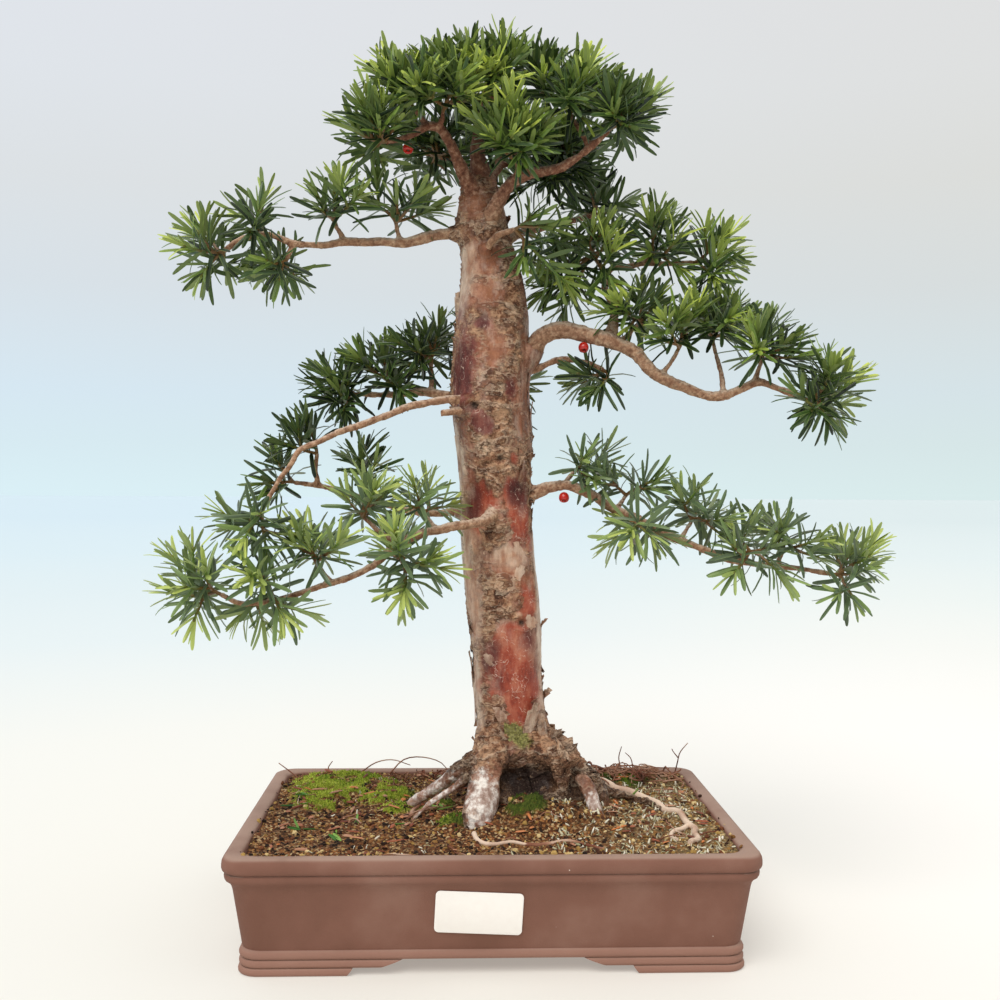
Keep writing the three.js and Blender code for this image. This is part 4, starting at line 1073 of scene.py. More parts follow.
@dataclass
class Pot:
    """The pot, raised from its outline through the rows of its mouldings, with stepped corner feet."""

    length: float = 310 * MM
    depth: float = 225 * MM
    corner: float = 12 * MM
    corner_steps: int = 9
    foot_width: float = 17 * MM
    drain_radius: float = 10 * MM
    drain_spacing: float = 140 * MM
    drain_height: float = 16 * MM
    # How far the cuts between the feet go past them
    over: float = 0.1 * MM
    # Each row: how far the outline is set in from the rim, and its height, in millimetres
    wall: Profile = (
        (11.6, 9), (10.2, 9.2), (9.3, 9.8), (8.9, 10.8), (8.9, 12.2), (9.3, 13.2), (10.2, 13.9), (10.7, 14.4),
        (10.2, 16), (7.9, 32), (5.5, 48.4), (4.9, 50.8), (4.0, 52.6), (2.9, 53.8), (2.0, 54.6), (1.5, 55.8),
        (1.3, 57.4), (1.5, 58.7), (2.2, 59.3), (1.2, 59.8), (0.4, 60.6), (0, 62), (0, 64), (0.3, 66.2),
        (1.2, 68), (2.6, 68.8), (4.4, 69), (7, 68.9), (9, 68.6), (10.6, 67.8), (11.3, 66.4), (11.9, 63.4),
        (19.4, 24), (20.5, 21.5), (23, 20),
    )
    upper_foot: Profile = (
        (11.4, 4.4), (9.9, 4.5), (9.2, 5), (8.9, 6), (8.95, 7.6), (9.5, 8.6), (10.6, 9.2), (11.4, 10),
    )
    lower_foot: Profile = (
        (10.2, 0), (9.0, 0.3), (8.5, 1.1), (8.4, 2.4), (8.7, 3.5), (9.4, 4.2), (10.4, 4.4), (11.2, 5),
    )
    # Each foot layer: reach from the corner along X and Y, and how far its end slopes back, in millimetres
    upper_reach: Point = (97, 68, 16)
    lower_reach: Point = (67, 48, 4)

    def _raised(self, rows: Profile, extra: float = 0.0) -> Piece:
        """A closed solid that follows the pot's outline.

        Args:
            rows: inset and height of each outline in turn.
            extra: more inset on every row, in metres.

        Returns:
            The solid.
        """
        sizes = [
            (0, height * MM, self.length - 2 * (inset * MM + extra), self.depth - 2 * (inset * MM + extra))
            for inset, height in rows
        ]
        piece = Bench.rounded(*sizes[0][2:], self.corner, self.corner_steps)
        with Bench.editing(piece, "FACE"):
            bpy.ops.transform.translate(value=(0, 0, sizes[0][1]))
            Bench.raise_rows(sizes)
        return piece

    def _block(self, half: Sequence[float], low: float, high: float, slope: Sequence[float]) -> Piece:
        """A block that is wider at its foot, to cut a sloping gap between feet.

        Args:
            half: its half length and half depth at the top.
            low: the height of its foot.
            high: the height of its top.
            slope: how much further its foot reaches along X and Y.

        Returns:
            The block.
        """
        bpy.ops.mesh.primitive_cube_add(size=2, location=(0, 0, 0))
        piece = bpy.context.object
        with Bench.editing(piece):
            Bench.resize(half[0], half[1], (high - low) / 2)
            bpy.ops.transform.translate(value=(0, 0, (high + low) / 2))
        Bench.pick(piece, "polygons", [face.normal.z < -0.5 for face in piece.data.polygons])
        with Bench.editing(piece, "FACE", whole=False):
            Bench.resize(1 + slope[0] / half[0], 1 + slope[1] / half[1], 1, (0, 0, low))
        return piece

    def _feet(self, rows: Profile, reach: Point) -> Piece:
        """One layer of the four feet.

        Args:
            rows: inset and height of its outlines in turn.
            reach: how far each foot goes along X and Y, and how far its end slopes back.

        Returns:
            The layer.
        """
        low, high = rows[0][1] * MM, rows[-1][1] * MM
        feet = self._raised(rows)
        inset = rows[3][0]
        inner = self._raised([(inset, rows[0][1] - 1), (inset, rows[-1][1] + 1)], self.foot_width)
        Bench.cut(feet, inner)
        half_x = self.length / 2 - (inset + reach[0]) * MM
        half_y = self.depth / 2 - (inset + reach[1]) * MM
        slope = reach[2] * MM
        Bench.cut(feet, self._block((half_x, self.depth), low - self.over, high + self.over, (slope, 0)))
        Bench.cut(feet, self._block((self.length, half_y), low - self.over, high + self.over, (0, slope)))
        return feet

    def build(self, finish: Material) -> None:
        """Models the pot and its drain holes, and dresses it."""
        pot = self._raised(self.wall)
        for rows, reach in ((self.upper_foot, self.upper_reach), (self.lower_foot, self.lower_reach)):
            Bench.cut(pot, self._feet(rows, reach), "UNION")
        for side in (-1, 1):
            place = (side * self.drain_spacing / 2, 0, self.drain_height)
            bpy.ops.mesh.primitive_cylinder_add(
                vertices=32, radius=self.drain_radius, depth=20 * MM, location=place
            )
            Bench.cut(pot, bpy.context.object)
        Bench.shade(pot, 42)
        Bench.settle(pot, "clay_pot", "clay", finish, ["pot"])


@dataclass
class DrainScreen:
    """A square of plastic net over a drain hole, under the soil."""

    side: float = 36 * MM
    meshes: int = 9
    wire: float = 1.1 * MM

    def build(self, node: str, finish: Material) -> None:
        """Models the net where the model's own screen lies.

        Args:
            node: the node that it replaces.
            finish: its material.
        """
        low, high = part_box(node)
        bpy.ops.mesh.primitive_grid_add(x_subdivisions=self.meshes, y_subdivisions=self.meshes, size=self.side)
        net = bpy.context.object
        net.location = (low + high) / 2 - HOME
        Bench.apply(net, "WIREFRAME", thickness=self.wire, use_even_offset=True)
        Bench.settle(net, node.replace("drain_screen", "drain_net"), "screen", finish, [node])


@dataclass
class Sticker:
    """The small bare label on the pot's front wall."""

    width: float = 50 * MM
    height: float = 25 * MM
    thick: float = 0.35 * MM
    corner: float = 2.6 * MM
    corner_steps: int = 7
    lean: float = math.atan2(5.2, 38)
    turn: float = -0.048

    def build(self, finish: Material) -> None:
        """Models the sticker where the model's own label lies."""
        low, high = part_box("label")
        sticker = Bench.rounded(self.width, self.height, self.corner, self.corner_steps)
        with Bench.editing(sticker, "FACE"):
            Bench.extrude(0, 0, self.thick)
            Bench.close()
        Bench.apply(sticker, "BEVEL", width=0.1 * MM, segments=2, limit_method="ANGLE")
        Bench.shade(sticker, 35)
        turned = Matrix.Rotation(math.pi / 2 + self.lean, 4, "X") @ Matrix.Rotation(self.turn, 4, "Z")
        sticker.data.transform(turned)
        sticker.location = (low + high) / 2 - HOME
        Bench.settle(sticker, "blank_sticker", "paper", finish, ["label"])


class Mark(Enum):
    """What a patch of the trunk's bark is like."""

    SCALY = "scaly"
    RED = "red"
    MAROON = "maroon"
    AMBER = "amber"
    PALE = "pale"
    LICHEN = "lichen"


@dataclass
class Trunk:
    """The trunk with its surface roots: the wood's shape, its peeling bark and the flakes that stand off it."""

    sides: int = 48
    voxel: float = 1.2 * MM
    rib: float = 0.035
    buttress: float = 0.14
    buttress_top: float = 122
    # Patches of bark by kind: height, angle from the front, half width and half height (mm, degrees)
    patches: dict[Mark, Sequence[Sequence[float]]] = field(default_factory=lambda: {
        Mark.RED: (
            (352, -46, 14, 34), (383, -12, 9, 6), (342, 33, 6, 8), (322, -20, 8, 9), (297, 28, 6, 7),
            (270, -34, 12, 17), (264, 38, 12, 24), (207, 38, 8, 12), (176, 10, 17, 14), (157, 6, 22, 24),
            (136, 14, 12, 14), (190, 150, 15, 34), (330, 175, 13, 30), (250, -130, 10, 24), (130, 8, 7, 10),
        ),
        Mark.MAROON: (
            (352, -50, 16, 40), (383, -12, 12, 9), (318, -14, 11, 12), (276, 44, 9, 14), (274, -48, 9, 15),
            (172, -38, 7, 12), (180, 46, 8, 12), (330, 170, 10, 26), (240, -126, 9, 20), (342, 33, 7, 9),
            (452, 10, 7, 6),
        ),
        Mark.AMBER: (
            (245, -50, 7, 12), (230, 12, 12, 10), (205, -60, 8, 44), (426, -12, 11, 12), (402, -8, 13, 12),
            (366, 2, 12, 12), (300, 120, 10, 34), (410, -150, 10, 24), (212, 42, 10, 18), (320, 44, 8, 20),
            (474, 0, 60, 24), (424, -22, 10, 12),
        ),
        Mark.SCALY: (
            (318, 0, 20, 34), (250, -4, 14, 12), (290, -8, 16, 16), (200, -16, 14, 24), (396, 22, 14, 22),
            (374, -30, 10, 12), (360, 20, 14, 10), (412, -34, 9, 10), (386, -34, 9, 8), (112, 40, 34, 18),
            (108, -60, 20, 14), (100, 150, 60, 24), (240, 170, 18, 44),
        ),
        Mark.PALE: (
            (225, -66, 11, 60), (300, -72, 8, 26), (410, -58, 9, 26), (200, 70, 9, 60), (150, -64, 8, 30),
            (188, -2, 7, 6), (235, 14, 10, 8),
        ),
        Mark.LICHEN: (
            (119, 6, 8, 9),
        ),
    })
    # Loose flaps of bark: height and angle, half width and half height, lift, tilt and paleness
    flaps: Sequence[Sequence[float]] = (
        (126, 32, 5.5, 15, 3.8, -0.15, 0.5), (121, 54, 6, 10, 3.4, 0.1, 0.5), (160, -84, 3.5, 12, 3.0, 0, 0),
        (110, -80, 3, 6, 3.4, 0, 0), (141, 46, 3, 2.6, 4.0, 0, 0), (143, -80, 4, 16, 2.2, 0.2, 0),
        (189, 82, 2.6, 3.5, 4.2, 0, 0), (143, 84, 3, 4, 5.0, 0.5, 0), (132, -16, 4, 9, 3.4, 0.6, 0.6),
        (121, -4, 6, 6, 2.6, -0.4, 0.3), (237, 28, 5, 8, 1.0, 0.3, 0), (223, 26, 3.4, 5, 1.0, -0.3, 1.0),
        (192, 36, 4, 4.5, 1.2, 0.5, 0.8), (168, -34, 3, 4, 1.2, 0.5, 0.9), (285, 46, 3, 9, 1.6, 0, 0),
        (349, 82, 3, 14, 2.4, -0.2, 0), (325, 82, 2.5, 9, 2.2, 0, 0), (300, -82, 3, 12, 1.4, 0, 0),
        (392, -80, 3, 14, 2.0, 0, 0), (112, 50, 8, 8, 3.2, 0.5, 0.3), (102, 46, 9, 7, 2.6, -0.4, 0.1),
        (106, 66, 7, 8, 3.0, 0.2, 0.2), (96, 62, 7, 6, 2.4, 0.6, 0), (117, 72, 6, 7, 3.0, -0.3, 0.3),
        (104, -12, 6, 5, 2.0, 0.8, 0.1), (206, 14, 4, 6, 1.4, 0.8, 0), (112, 110, 5, 9, 2.0, 0, 0),
        (120, 170, 8, 16, 3.0, 0, 0), (128, -140, 7, 18, 3.0, 0.2, 0), (300, 160, 5, 14, 2.2, 0, 0),
        (250, 120, 4, 14, 2.4, 0, 0), (374, 140, 5, 12, 2.0, 0, 0), (210, -120, 5, 16, 2.2, 0, 0),
    )
    flakes: int = 420
    # The heights between which flakes lie
    flake_reach: tuple[float, float] = (86, 478)
    # The middle of the hollow between the roots, in millimetres; it is sunk and painted dark as shade
    hollow: Point = (23, -34, 91)
    # Knots with a hole painted dark as shade: height, angle from the front and size
    knots: Sequence[Point] = ((192, 24, 5), (330, -24, 6), (297, 6, 5))
    grain: Grain = Grain(7)

    def axis(self, heights: Rows) -> tuple[Rows, Rows]:
        """The trunk's middle X and its radius at some heights, all in millimetres."""
        rows = np.array(TRUNK, float)
        return np.interp(heights, rows[:, 0], rows[:, 1]), np.interp(heights, rows[:, 0], rows[:, 2])

    def _core(self) -> Piece:
        """The trunk without its roots, extruded from a ring through the rows."""
        rows = smooth_line(TRUNK, 64) * MM
        trunk = Bench.disc(self.sides)
        with Bench.editing(trunk, "FACE"):
            z, x, radius = rows[0]
            Bench.resize(radius, radius)
            bpy.ops.transform.translate(value=(x, 0, z))
            Bench.raise_rows([(x, z, radius, radius) for z, x, radius in rows])
        points = Bench.points(trunk)
        height = points[:, 2] / MM
        middle = self.axis(height)[0] * MM
        angle = np.arctan2(points[:, 1], points[:, 0] - middle)
        low = np.clip((self.buttress_top - height) / (self.buttress_top - TRUNK[0][0]), 0, 1)
        swell = 1 + self.rib * (np.sin(3 * angle + height * 0.021) + 0.6 * np.sin(5 * angle - height * 0.034))
        swell += self.buttress * low * np.cos(5 * angle + 0.9)
        points[:, 0] = middle + (points[:, 0] - middle) * swell
        points[:, 1] *= swell
        Bench.move(trunk, points)
        return trunk

    def _bars(self) -> Piece:
        """The surface roots, and a collar where each branch leaves the trunk."""
        lines = []
        for root in ROOTS:
            line = smooth_line(root.line, 40)
            t = np.linspace(0, 1, 40)
            radii = root.start + (root.end - root.start) * t**0.8
            radii *= 1 + 0.3 * (self.grain.cloud(line, 14, 2) - 0.5)
            lines.append((line * MM, radii * MM))
        for branch in BRANCHES.values():
            line = smooth_line(branch.line, 60)
            middle, radius = self.axis(line[:, 2])
            out = np.hypot(line[:, 0] - middle, line[:, 1]) - radius
            if out[0] > 0 or line[0][2] > 455:
                continue
            inside = int(np.argmax(out > 4))
            t = np.clip((out[:inside + 1] + 4) / 8, 0, 1)
            lines.append((line[:inside + 1] * MM, branch.start * (1.6 - 0.66 * t) * MM))
        return Bench.bars(lines, 5)

    def fields(self, points: Rows) -> dict[str, Rows]:
        """How much of each kind of bark there is, as fields whose patches end where they are a half.

        Args:
            points: rows of X, Y and Z in metres from the pot's middle.

        Returns:
            A field for each kind.
        """
        height = points[:, 2] / MM
        middle, radius = self.axis(height)
        angle = np.degrees(np.arctan2(points[:, 0] / MM - middle, -points[:, 1] / MM))
        ragged = 1.5 * (self.grain.cloud(points * [1, 1, 0.7], 13 * MM, 3) - 0.5)
        found = {mark.value: np.zeros(len(points)) for mark in Mark}
        for mark, patches in self.patches.items():
            for middle_height, middle_angle, wide, tall in patches:
                turn = (angle - middle_angle + 180) % 360 - 180
                away = np.hypot(np.radians(turn) * radius / wide, (height - middle_height) / tall) + ragged
                found[mark.value] = np.maximum(found[mark.value], np.clip(1 - 0.5 * away, 0, 1))
        drift = self.grain.cloud(points * [1, 1, 0.7], 26 * MM, 4) - 0.5
        scaly = 0.43 + 1.3 * drift + 0.07 * np.cos(np.radians(angle + 6))
        bare = np.maximum(np.maximum(found["red"], found["pale"]), found["amber"])
        scaly = np.maximum(scaly, found["scaly"])
        found["scaly"] = np.clip(np.where(bare > 0.4, np.minimum(scaly, 1.02 - bare), scaly), 0, 1)
        low = step(122, 98, height)
        patchy = self.grain.cloud(points, 15 * MM, 2)
        found["scaly"] = np.maximum(found["scaly"], low * (0.05 + 0.62 * patchy))
        found["earth"] = np.clip(0.95 * step(130, 88, height) * (0.4 + patchy), 0, 1)
        found["scaly"] = np.maximum(found["scaly"], step(448, 470, height) * (0.2 + 0.7 * patchy))
        white = away_from(points / MM, (-5, -48, 86), (0.62, 1, 1.3)) / 32
        side = away_from(points / MM, (-38, -18, 80), (1.5, 1, 1)) / 40
        stub = away_from(points / MM, (64, -38, 82), (1, 1, 1.3)) / 13
        found["bleach"] = np.clip(np.maximum(1.02 - white, 0.9 - np.minimum(side, stub)) + 0.3 * ragged, 0, 1)
        found["earth"] *= 1 - found["bleach"]
        found["scaly"] *= 1 - 0.8 * found["bleach"]
        mossy = 0.55 * step(90, 74, height) * (0.5 + patchy) * (1 - found["bleach"])
        found["lichen"] = np.maximum(found["lichen"], mossy * step(52, 44, points[:, 0] / MM))
        return found

    def _bark(self, trunk: Piece) -> None:
        """Raises the layers and scales, sinks the bare patches, and stores the fields.

        Args:
            trunk: the trunk's smooth skin.
        """
        points, normals = Bench.points(trunk), Bench.points(trunk, "normal")
        found = self.fields(points)
        scaly = step(0.4, 0.62, found["scaly"])
        bare = step(0.4, 0.6, found["red"])
        edge, pick = Grain(19).plates(points * [0.8, 0.8, 1.1], 5.2 * MM)
        layer = 6 * self.grain.cloud(points * [0.7, 0.7, 1.2], 15 * MM, 3) + points[:, 2] / (16 * MM)
        layer = 1 - layer % 1
        height = points[:, 2] / MM
        rough = 1 + 0.9 * step(124, 100, height)
        depth = 2.0 * (self.grain.cloud(points, 26 * MM) - 0.5) + 0.9 * (self.grain.cloud(points, 8 * MM, 2) - 0.5)
        depth += (0.25 + 0.75 * scaly) * 0.8 * (layer - 0.5) * (1 - 0.8 * bare)
        depth += scaly * 0.9 * (pick * step(0, 0.3, edge) - 0.3)
        sunk = step(1.2, 0.3, away_from(points / MM, self.hollow, (17, 24, 16)))
        middle, radius = self.axis(height)
        turn = np.arctan2(points[:, 0] / MM - middle, -points[:, 1] / MM)
        holes = np.zeros(len(points))
        for knot_height, knot_angle, size in self.knots:
            away = np.hypot((turn - math.radians(knot_angle)) * radius, height - knot_height) / size
            depth += 1.3 * np.exp(-(((away - 1) / 0.4) ** 2))
            holes = np.maximum(holes, step(0.55, 0.2, away))
        Bench.move(trunk, points + normals * (depth * rough - 0.35 * bare - 13 * sunk - 1.6 * holes)[:, None] * MM)
        # Dark cracks between the plates, darker near the foot, and painted shade in the hollow and the knot holes
        crack = scaly * step(0.16, 0.02, edge) * (pick > 0.45) * (0.35 + 0.4 * step(130, 100, height))
        crack = np.maximum(crack, np.maximum(step(0.1, 0.6, sunk), 0.9 * holes))
        Bench.mark(trunk, crack=np.clip(crack, 0, 1), **found)

    def _plate(self) -> Pattern:
        """One plate of bark in the XY plane, two units long and wide, with its corners off."""
        bpy.ops.mesh.primitive_grid_add(x_subdivisions=4, y_subdivisions=5, size=2)
        plate = bpy.context.object
        Bench.pick(plate, "vertices", [abs(corner.co.x * corner.co.y) > 0.95 for corner in plate.data.vertices])
        with Bench.editing(plate, whole=False):
            bpy.ops.mesh.delete(type="VERT")
        Bench.apply(plate, "SOLIDIFY", thickness=0.12, offset=-1)
        return Pattern.taken_from(plate)

    def _seat(self, tree: BVHTree, height: float, angle: float) -> tuple[Vector, Vector] | None:
        """Where the bark's surface is at a height and angle, and the way that it faces."""
        middle, radius = self.axis(np.array([height]))
        way = Vector((math.sin(angle), -math.cos(angle), 0))
        start = Vector((middle[0] * MM, 0, height * MM)) + way * (radius[0] + 30) * MM
        place, normal, _, _ = tree.ray_cast(start, -way)
        return None if place is None else (place, normal)

    def _flakes(self, trunk: Piece, finish: Material) -> None:
        """Loose flakes over the scaly bark, and the larger flaps that peel away from it.

        Args:
            trunk: the finished trunk.
            finish: the flakes' material.
        """
        draw = np.random.default_rng(31)
        tree = BVHTree.FromObject(trunk, bpy.context.evaluated_depsgraph_get())
        plate = self._plate()
        seats, ups, sizes, turns = [], [], [], []
        while len(seats) < self.flakes:
            height = draw.uniform(*self.flake_reach)
            angle, wide, tall = draw.normal(0, 1.3), 0.9 + 2.0 * draw.random() ** 2, draw.uniform(0.7, 1.5)
            lift, turn = draw.uniform(0.25, 0.8), draw.normal(0, 0.8)
            seat = self._seat(tree, height, angle)
            if seat is None or self.fields(np.array([seat[0]]))["scaly"][0] < 0.46:
                continue
            seats.append(seat[0])
            ups.append(seat[1])
            sizes.append((wide, wide * tall, wide * lift))
            turns.append(turn)
        for height, angle, wide, tall, lift, tilt, _ in self.flaps:
            place, normal = self._seat(tree, height, math.radians(angle))
            seats.append(place)
            ups.append(normal)
            sizes.append((wide, tall, lift))
            turns.append(tilt)
        normals = unit(np.array(ups) * [1, 1, 0.6])
        frames = frames_from(normals, np.array(turns) + math.pi)
        u, v, w = plate.points.T
        sizes = np.array(sizes) * MM
        wide, tall, lift = (sizes[:, i, None] for i in range(3))
        spread = plate.points[None] * [1, 1, 0] + 7.3 * np.arange(len(sizes))[:, None, None]
        ragged = 1 + 0.7 * (Grain(43).cloud(spread.reshape(-1, 3), 0.9).reshape(len(sizes), -1) - 0.5)
        curl = ((1 - v) / 2) ** 1.7
        out = lift * curl * (1 + 0.5 * u) + 0.15 * MM + w * 2.2 * MM - u**2 * wide * 0.2
        local = np.stack([u * wide * ragged, v * tall * ragged, out], axis=2)
        copies = np.array(seats)[:, None] + np.einsum("nvi,nij->nvj", local, frames)
        flakes = plate.strew(copies)
        marks = {kind: np.repeat(values, len(u)) for kind, values in self.fields(np.array(seats)).items()}
        paler = np.array([0.0] * self.flakes + [flap[-1] for flap in self.flaps])
        marks["pale"] = 0.6 * marks["pale"] + np.tile(0.55 * curl, len(sizes)) + np.repeat(paler, len(u))
        marks["pale"] = np.clip(marks["pale"], 0, 1)
        for name in ("scaly", "earth"):
            marks[name] *= 1 - 0.8 * np.repeat(paler, len(u))
        marks["red"] *= 0.7
        Bench.mark(flakes, **marks)
        Bench.shade(flakes, 40)
        Bench.settle(flakes, "bark_flakes", "bark", finish)

    def build(self, bark: Material) -> None:
        """Models the trunk and its flakes, all of them with the same bark."""
        trunk = Bench.join(self._core(), self._bars())
        Bench.knit(trunk, self.voxel, 5)
        self._bark(trunk)
        Bench.shade(trunk)
        self._flakes(trunk, bark)
        Bench.settle(trunk, "trunk_and_roots", "bark", bark, ["wood"])


@dataclass(frozen=True)
class SprayPlan:
    """Where one spray grows: the line of its twig, if it has one, and the lines of its shoots."""

    name: str
    branch: str
    twig: Rows | None
    shoots: list[Rows]


@dataclass
class Growth:
    """The rules by which twigs leave the branches and shoots leave the twigs, all in millimetres."""

    gap: float = 0.3
    main_bend: float = 0.36
    side_first: float = 0.35
    side_next: float = 0.25
    side_bend: float = 0.06
    leafy: float = 16.5
    most_leafy: float = 0.72
    # How many more shoots fill out a spray for each one in the table, and how long they are
    crown_fill: int = 3
    crown_reach: tuple[float, float] = (9, 17)
    fill: int = 1
    # The branches whose sprays are filled out more
    dense: Sequence[str] = ("right_main", "right_up", "left_back", "right_behind")
    reach: tuple[float, float] = (11, 19)

    def _twig(self, line: Rows, fork: Rows) -> Rows | None:
        """Leads a twig from its branch to a fork.

        Args:
            line: the branch's points.
            fork: where the spray's shoots part.

        Returns:
            The twig's line, or None where the branch itself ends at the fork.
        """
        if np.linalg.norm(fork - line[-1]) < self.gap:
            return None
        spots = smooth_line(line, 61)
        away = np.linalg.norm(spots - fork, axis=1)
        length = length_of(spots)
        best = int(np.argmin(away)) / 60
        share = best - min(0.2 * away.min() / length, best)
        place = share * 60
        low = min(int(place), 59)
        start = spots[low] + (spots[low + 1] - spots[low]) * (place - low)
        along = unit(spots[low + 1] - spots[low])
        bend = (start + fork) / 2 + along * 0.05 * np.linalg.norm(fork - start)
        return bent_line(start, bend, fork, 12)

    def _shoots(self, fork: Rows, heading: Rows, tips: Rows) -> list[Rows]:
        """Leads the shoots of a spray: the one most in line goes on, and the others leave it in turn.

        Args:
            fork: where the shoots part.
            heading: the way that the twig arrives.
            tips: where the shoots end.

        Returns:
            The shoots' lines.
        """
        in_line = unit(tips - fork) @ heading
        main_tip, *side_tips = tips[np.argsort(-in_line, kind="stable")]
        start = fork + heading * 1.5 * self.gap
        bend = start + heading * self.main_bend * np.linalg.norm(main_tip - start)
        main = bent_line(start, bend, main_tip, 33)
        length = length_of(main)
        bare = 1 - min(self.leafy, length * self.most_leafy) / length
        joint = main[round(16 * bare)]
        lines = [main]
        for i, tip in enumerate(side_tips):
            begin = start + (joint - start) * (self.side_first + self.side_next * i)
            reach = np.linalg.norm(tip - begin)
            middle = begin + (tip - begin) * 0.45 + (heading * self.side_bend - [0, 0, 0.1]) * reach
            lines.append(bent_line(begin, middle, tip, 33))
        return lines

    def _filling(self, shoots: Sequence[Rows], branch: str, draw: Draws) -> list[Rows]:
        """Short shoots between the long ones.

        Args:
            shoots: the long shoots' lines.
            branch: the branch that bears them; shoots are more crowded in the crown.
            draw: the random numbers.

        Returns:
            The lines of the short shoots.
        """
        lines = []
        crown = "crown" in branch
        more = self.crown_fill if crown else self.fill + (branch in self.dense)
        for shoot in shoots:
            for _ in range(more):
                place = int(draw.uniform(0.1, 0.75) * (len(shoot) - 2))
                axis = unit(shoot[place + 1] - shoot[place])
                across = frames_from(axis[None], draw.uniform(0, 6.3, 1))[0, 0]
                way = unit(0.7 * axis + 0.95 * across + np.array([0, 0, 0.5 if crown else 0.4]))
                reach = draw.uniform(*(self.crown_reach if crown else self.reach))
                end = shoot[place] + way * reach
                middle = shoot[place] + (way * 0.5 - np.array([0, 0, 0.06])) * reach
                lines.append(bent_line(shoot[place], middle, end, 17))
        return lines

    def plans(self) -> list[SprayPlan]:
        """Every spray, in the order of the table."""
        made = []
        draw = np.random.default_rng(77)
        for key, sprays in SPRAYS.items():
            line = np.array(BRANCHES[key].line, float)
            for number, (fork, tips) in enumerate(sprays, 1):
                end = np.array(fork, float)
                twig = self._twig(line, end)
                heading = unit(end - line[-2] if twig is None else twig[-1] - twig[-2])
                shoots = self._shoots(end, heading, np.array(tips, float))
                shoots += self._filling(shoots, key, draw)
                made.append(SprayPlan(f"{key}_{number}", key, twig, shoots))
        return made


@dataclass
class Limbs:
    """The branches and twigs, knobbly and scaly, in one piece."""

    voxel: float = 1.08 * MM
    twig_start: float = 2.1
    twig_end: float = 1.6
    thinnest: float = 1.5
    flare: float = 0.5
    flare_reach: float = 16
    # How far each one runs on into its spray's shoots
    overlap: float = 1.5
    grain: Grain = Grain(11)

    def _lines(self, plans: Sequence[SprayPlan]) -> list[tuple[Rows, Rows]]:
        """Every branch and twig as points and radii in millimetres."""
        lines = []
        for branch in BRANCHES.values():
            steps = 14 * len(branch.line)
            t = np.linspace(0, 1, steps)
            line = smooth_line(branch.line, steps)
            away = np.linalg.norm(line - line[0], axis=1)
            flare = 1 + self.flare * np.exp(-((away / self.flare_reach) ** 2))
            lines.append((line, (branch.start + (branch.end - branch.start) * t**0.62) * flare))
        for plan in plans:
            if plan.twig is not None:
                t = np.linspace(0, 1, 24)
                line = evenly(plan.twig, 24)
                lines.append((line, self.twig_start + (self.twig_end - self.twig_start) * t))
        tips = [line[-1] + unit(line[-1] - line[-2]) * self.overlap for line, _ in lines]
        return [(np.vstack([line, tip]), np.append(radii, radii[-1])) for (line, radii), tip in zip(lines, tips)]

    def build(self, plans: Sequence[SprayPlan], finish: Material) -> None:
        """Models the branches and twigs.

        Args:
            plans: the sprays that they bear.
            finish: their material.
        """
        bars = []
        spots, sizes = [], []
        for line, radii in self._lines(plans):
            knots = self.grain.cloud(line, 9.0, 2)
            wander = np.stack([self.grain.cloud(line + shift, 16.0) - 0.5 for shift in (0, 90, 180)], axis=1)
            calm = np.sin(np.linspace(0, math.pi, len(line)))[:, None]
            line = line + wander * calm * np.minimum(radii, 3)[:, None] * 1.1
            swollen = np.maximum(radii * (0.9 + 0.36 * (knots - 0.35)), self.thinnest)
            bars.append((line * MM, swollen * MM))
            spots.extend(line * MM)
            sizes.extend(radii)
        limbs = Bench.bars(bars, 3)
        Bench.knit(limbs, self.voxel, 2)
        tree = KDTree(len(spots))
        for i, spot in enumerate(spots):
            tree.insert(spot, i)
        tree.balance()
        points, normals = Bench.points(limbs), Bench.points(limbs, "normal")
        radius = np.array([sizes[tree.find(point)[1]] for point in points])
        edge, pick = self.grain.plates(points, 3.4 * MM)
        crack = step(0.12, 0.0, edge) * (pick > 0.3)
        relief = 0.7 * (self.grain.cloud(points, 4 * MM, 2) - 0.5) + 0.45 * pick * step(0, 0.15, edge)
        relief *= np.clip(radius / 3.4, 0.45, 1.3)
        Bench.move(limbs, points + normals * (relief - 0.1)[:, None] * MM)
        thick = step(1.8, 4.4, radius)
        crown = step(440, 470, points[:, 2] / MM)
        # Painted shade on the branches hidden inside the crown
        hidden = away_from(points / MM, (-5, 6, 498), (12, 16, 26))
        crack = np.maximum(crack, 1.7 * step(1.15, 0.7, hidden))
        Bench.mark(limbs, young=np.clip(0.9 - 0.75 * thick, 0, 1), russet=crown, crack=0.42 * crack)
        Bench.shade(limbs)
        Bench.settle(limbs, "branches_and_twigs", "bark", finish, ["wood"])


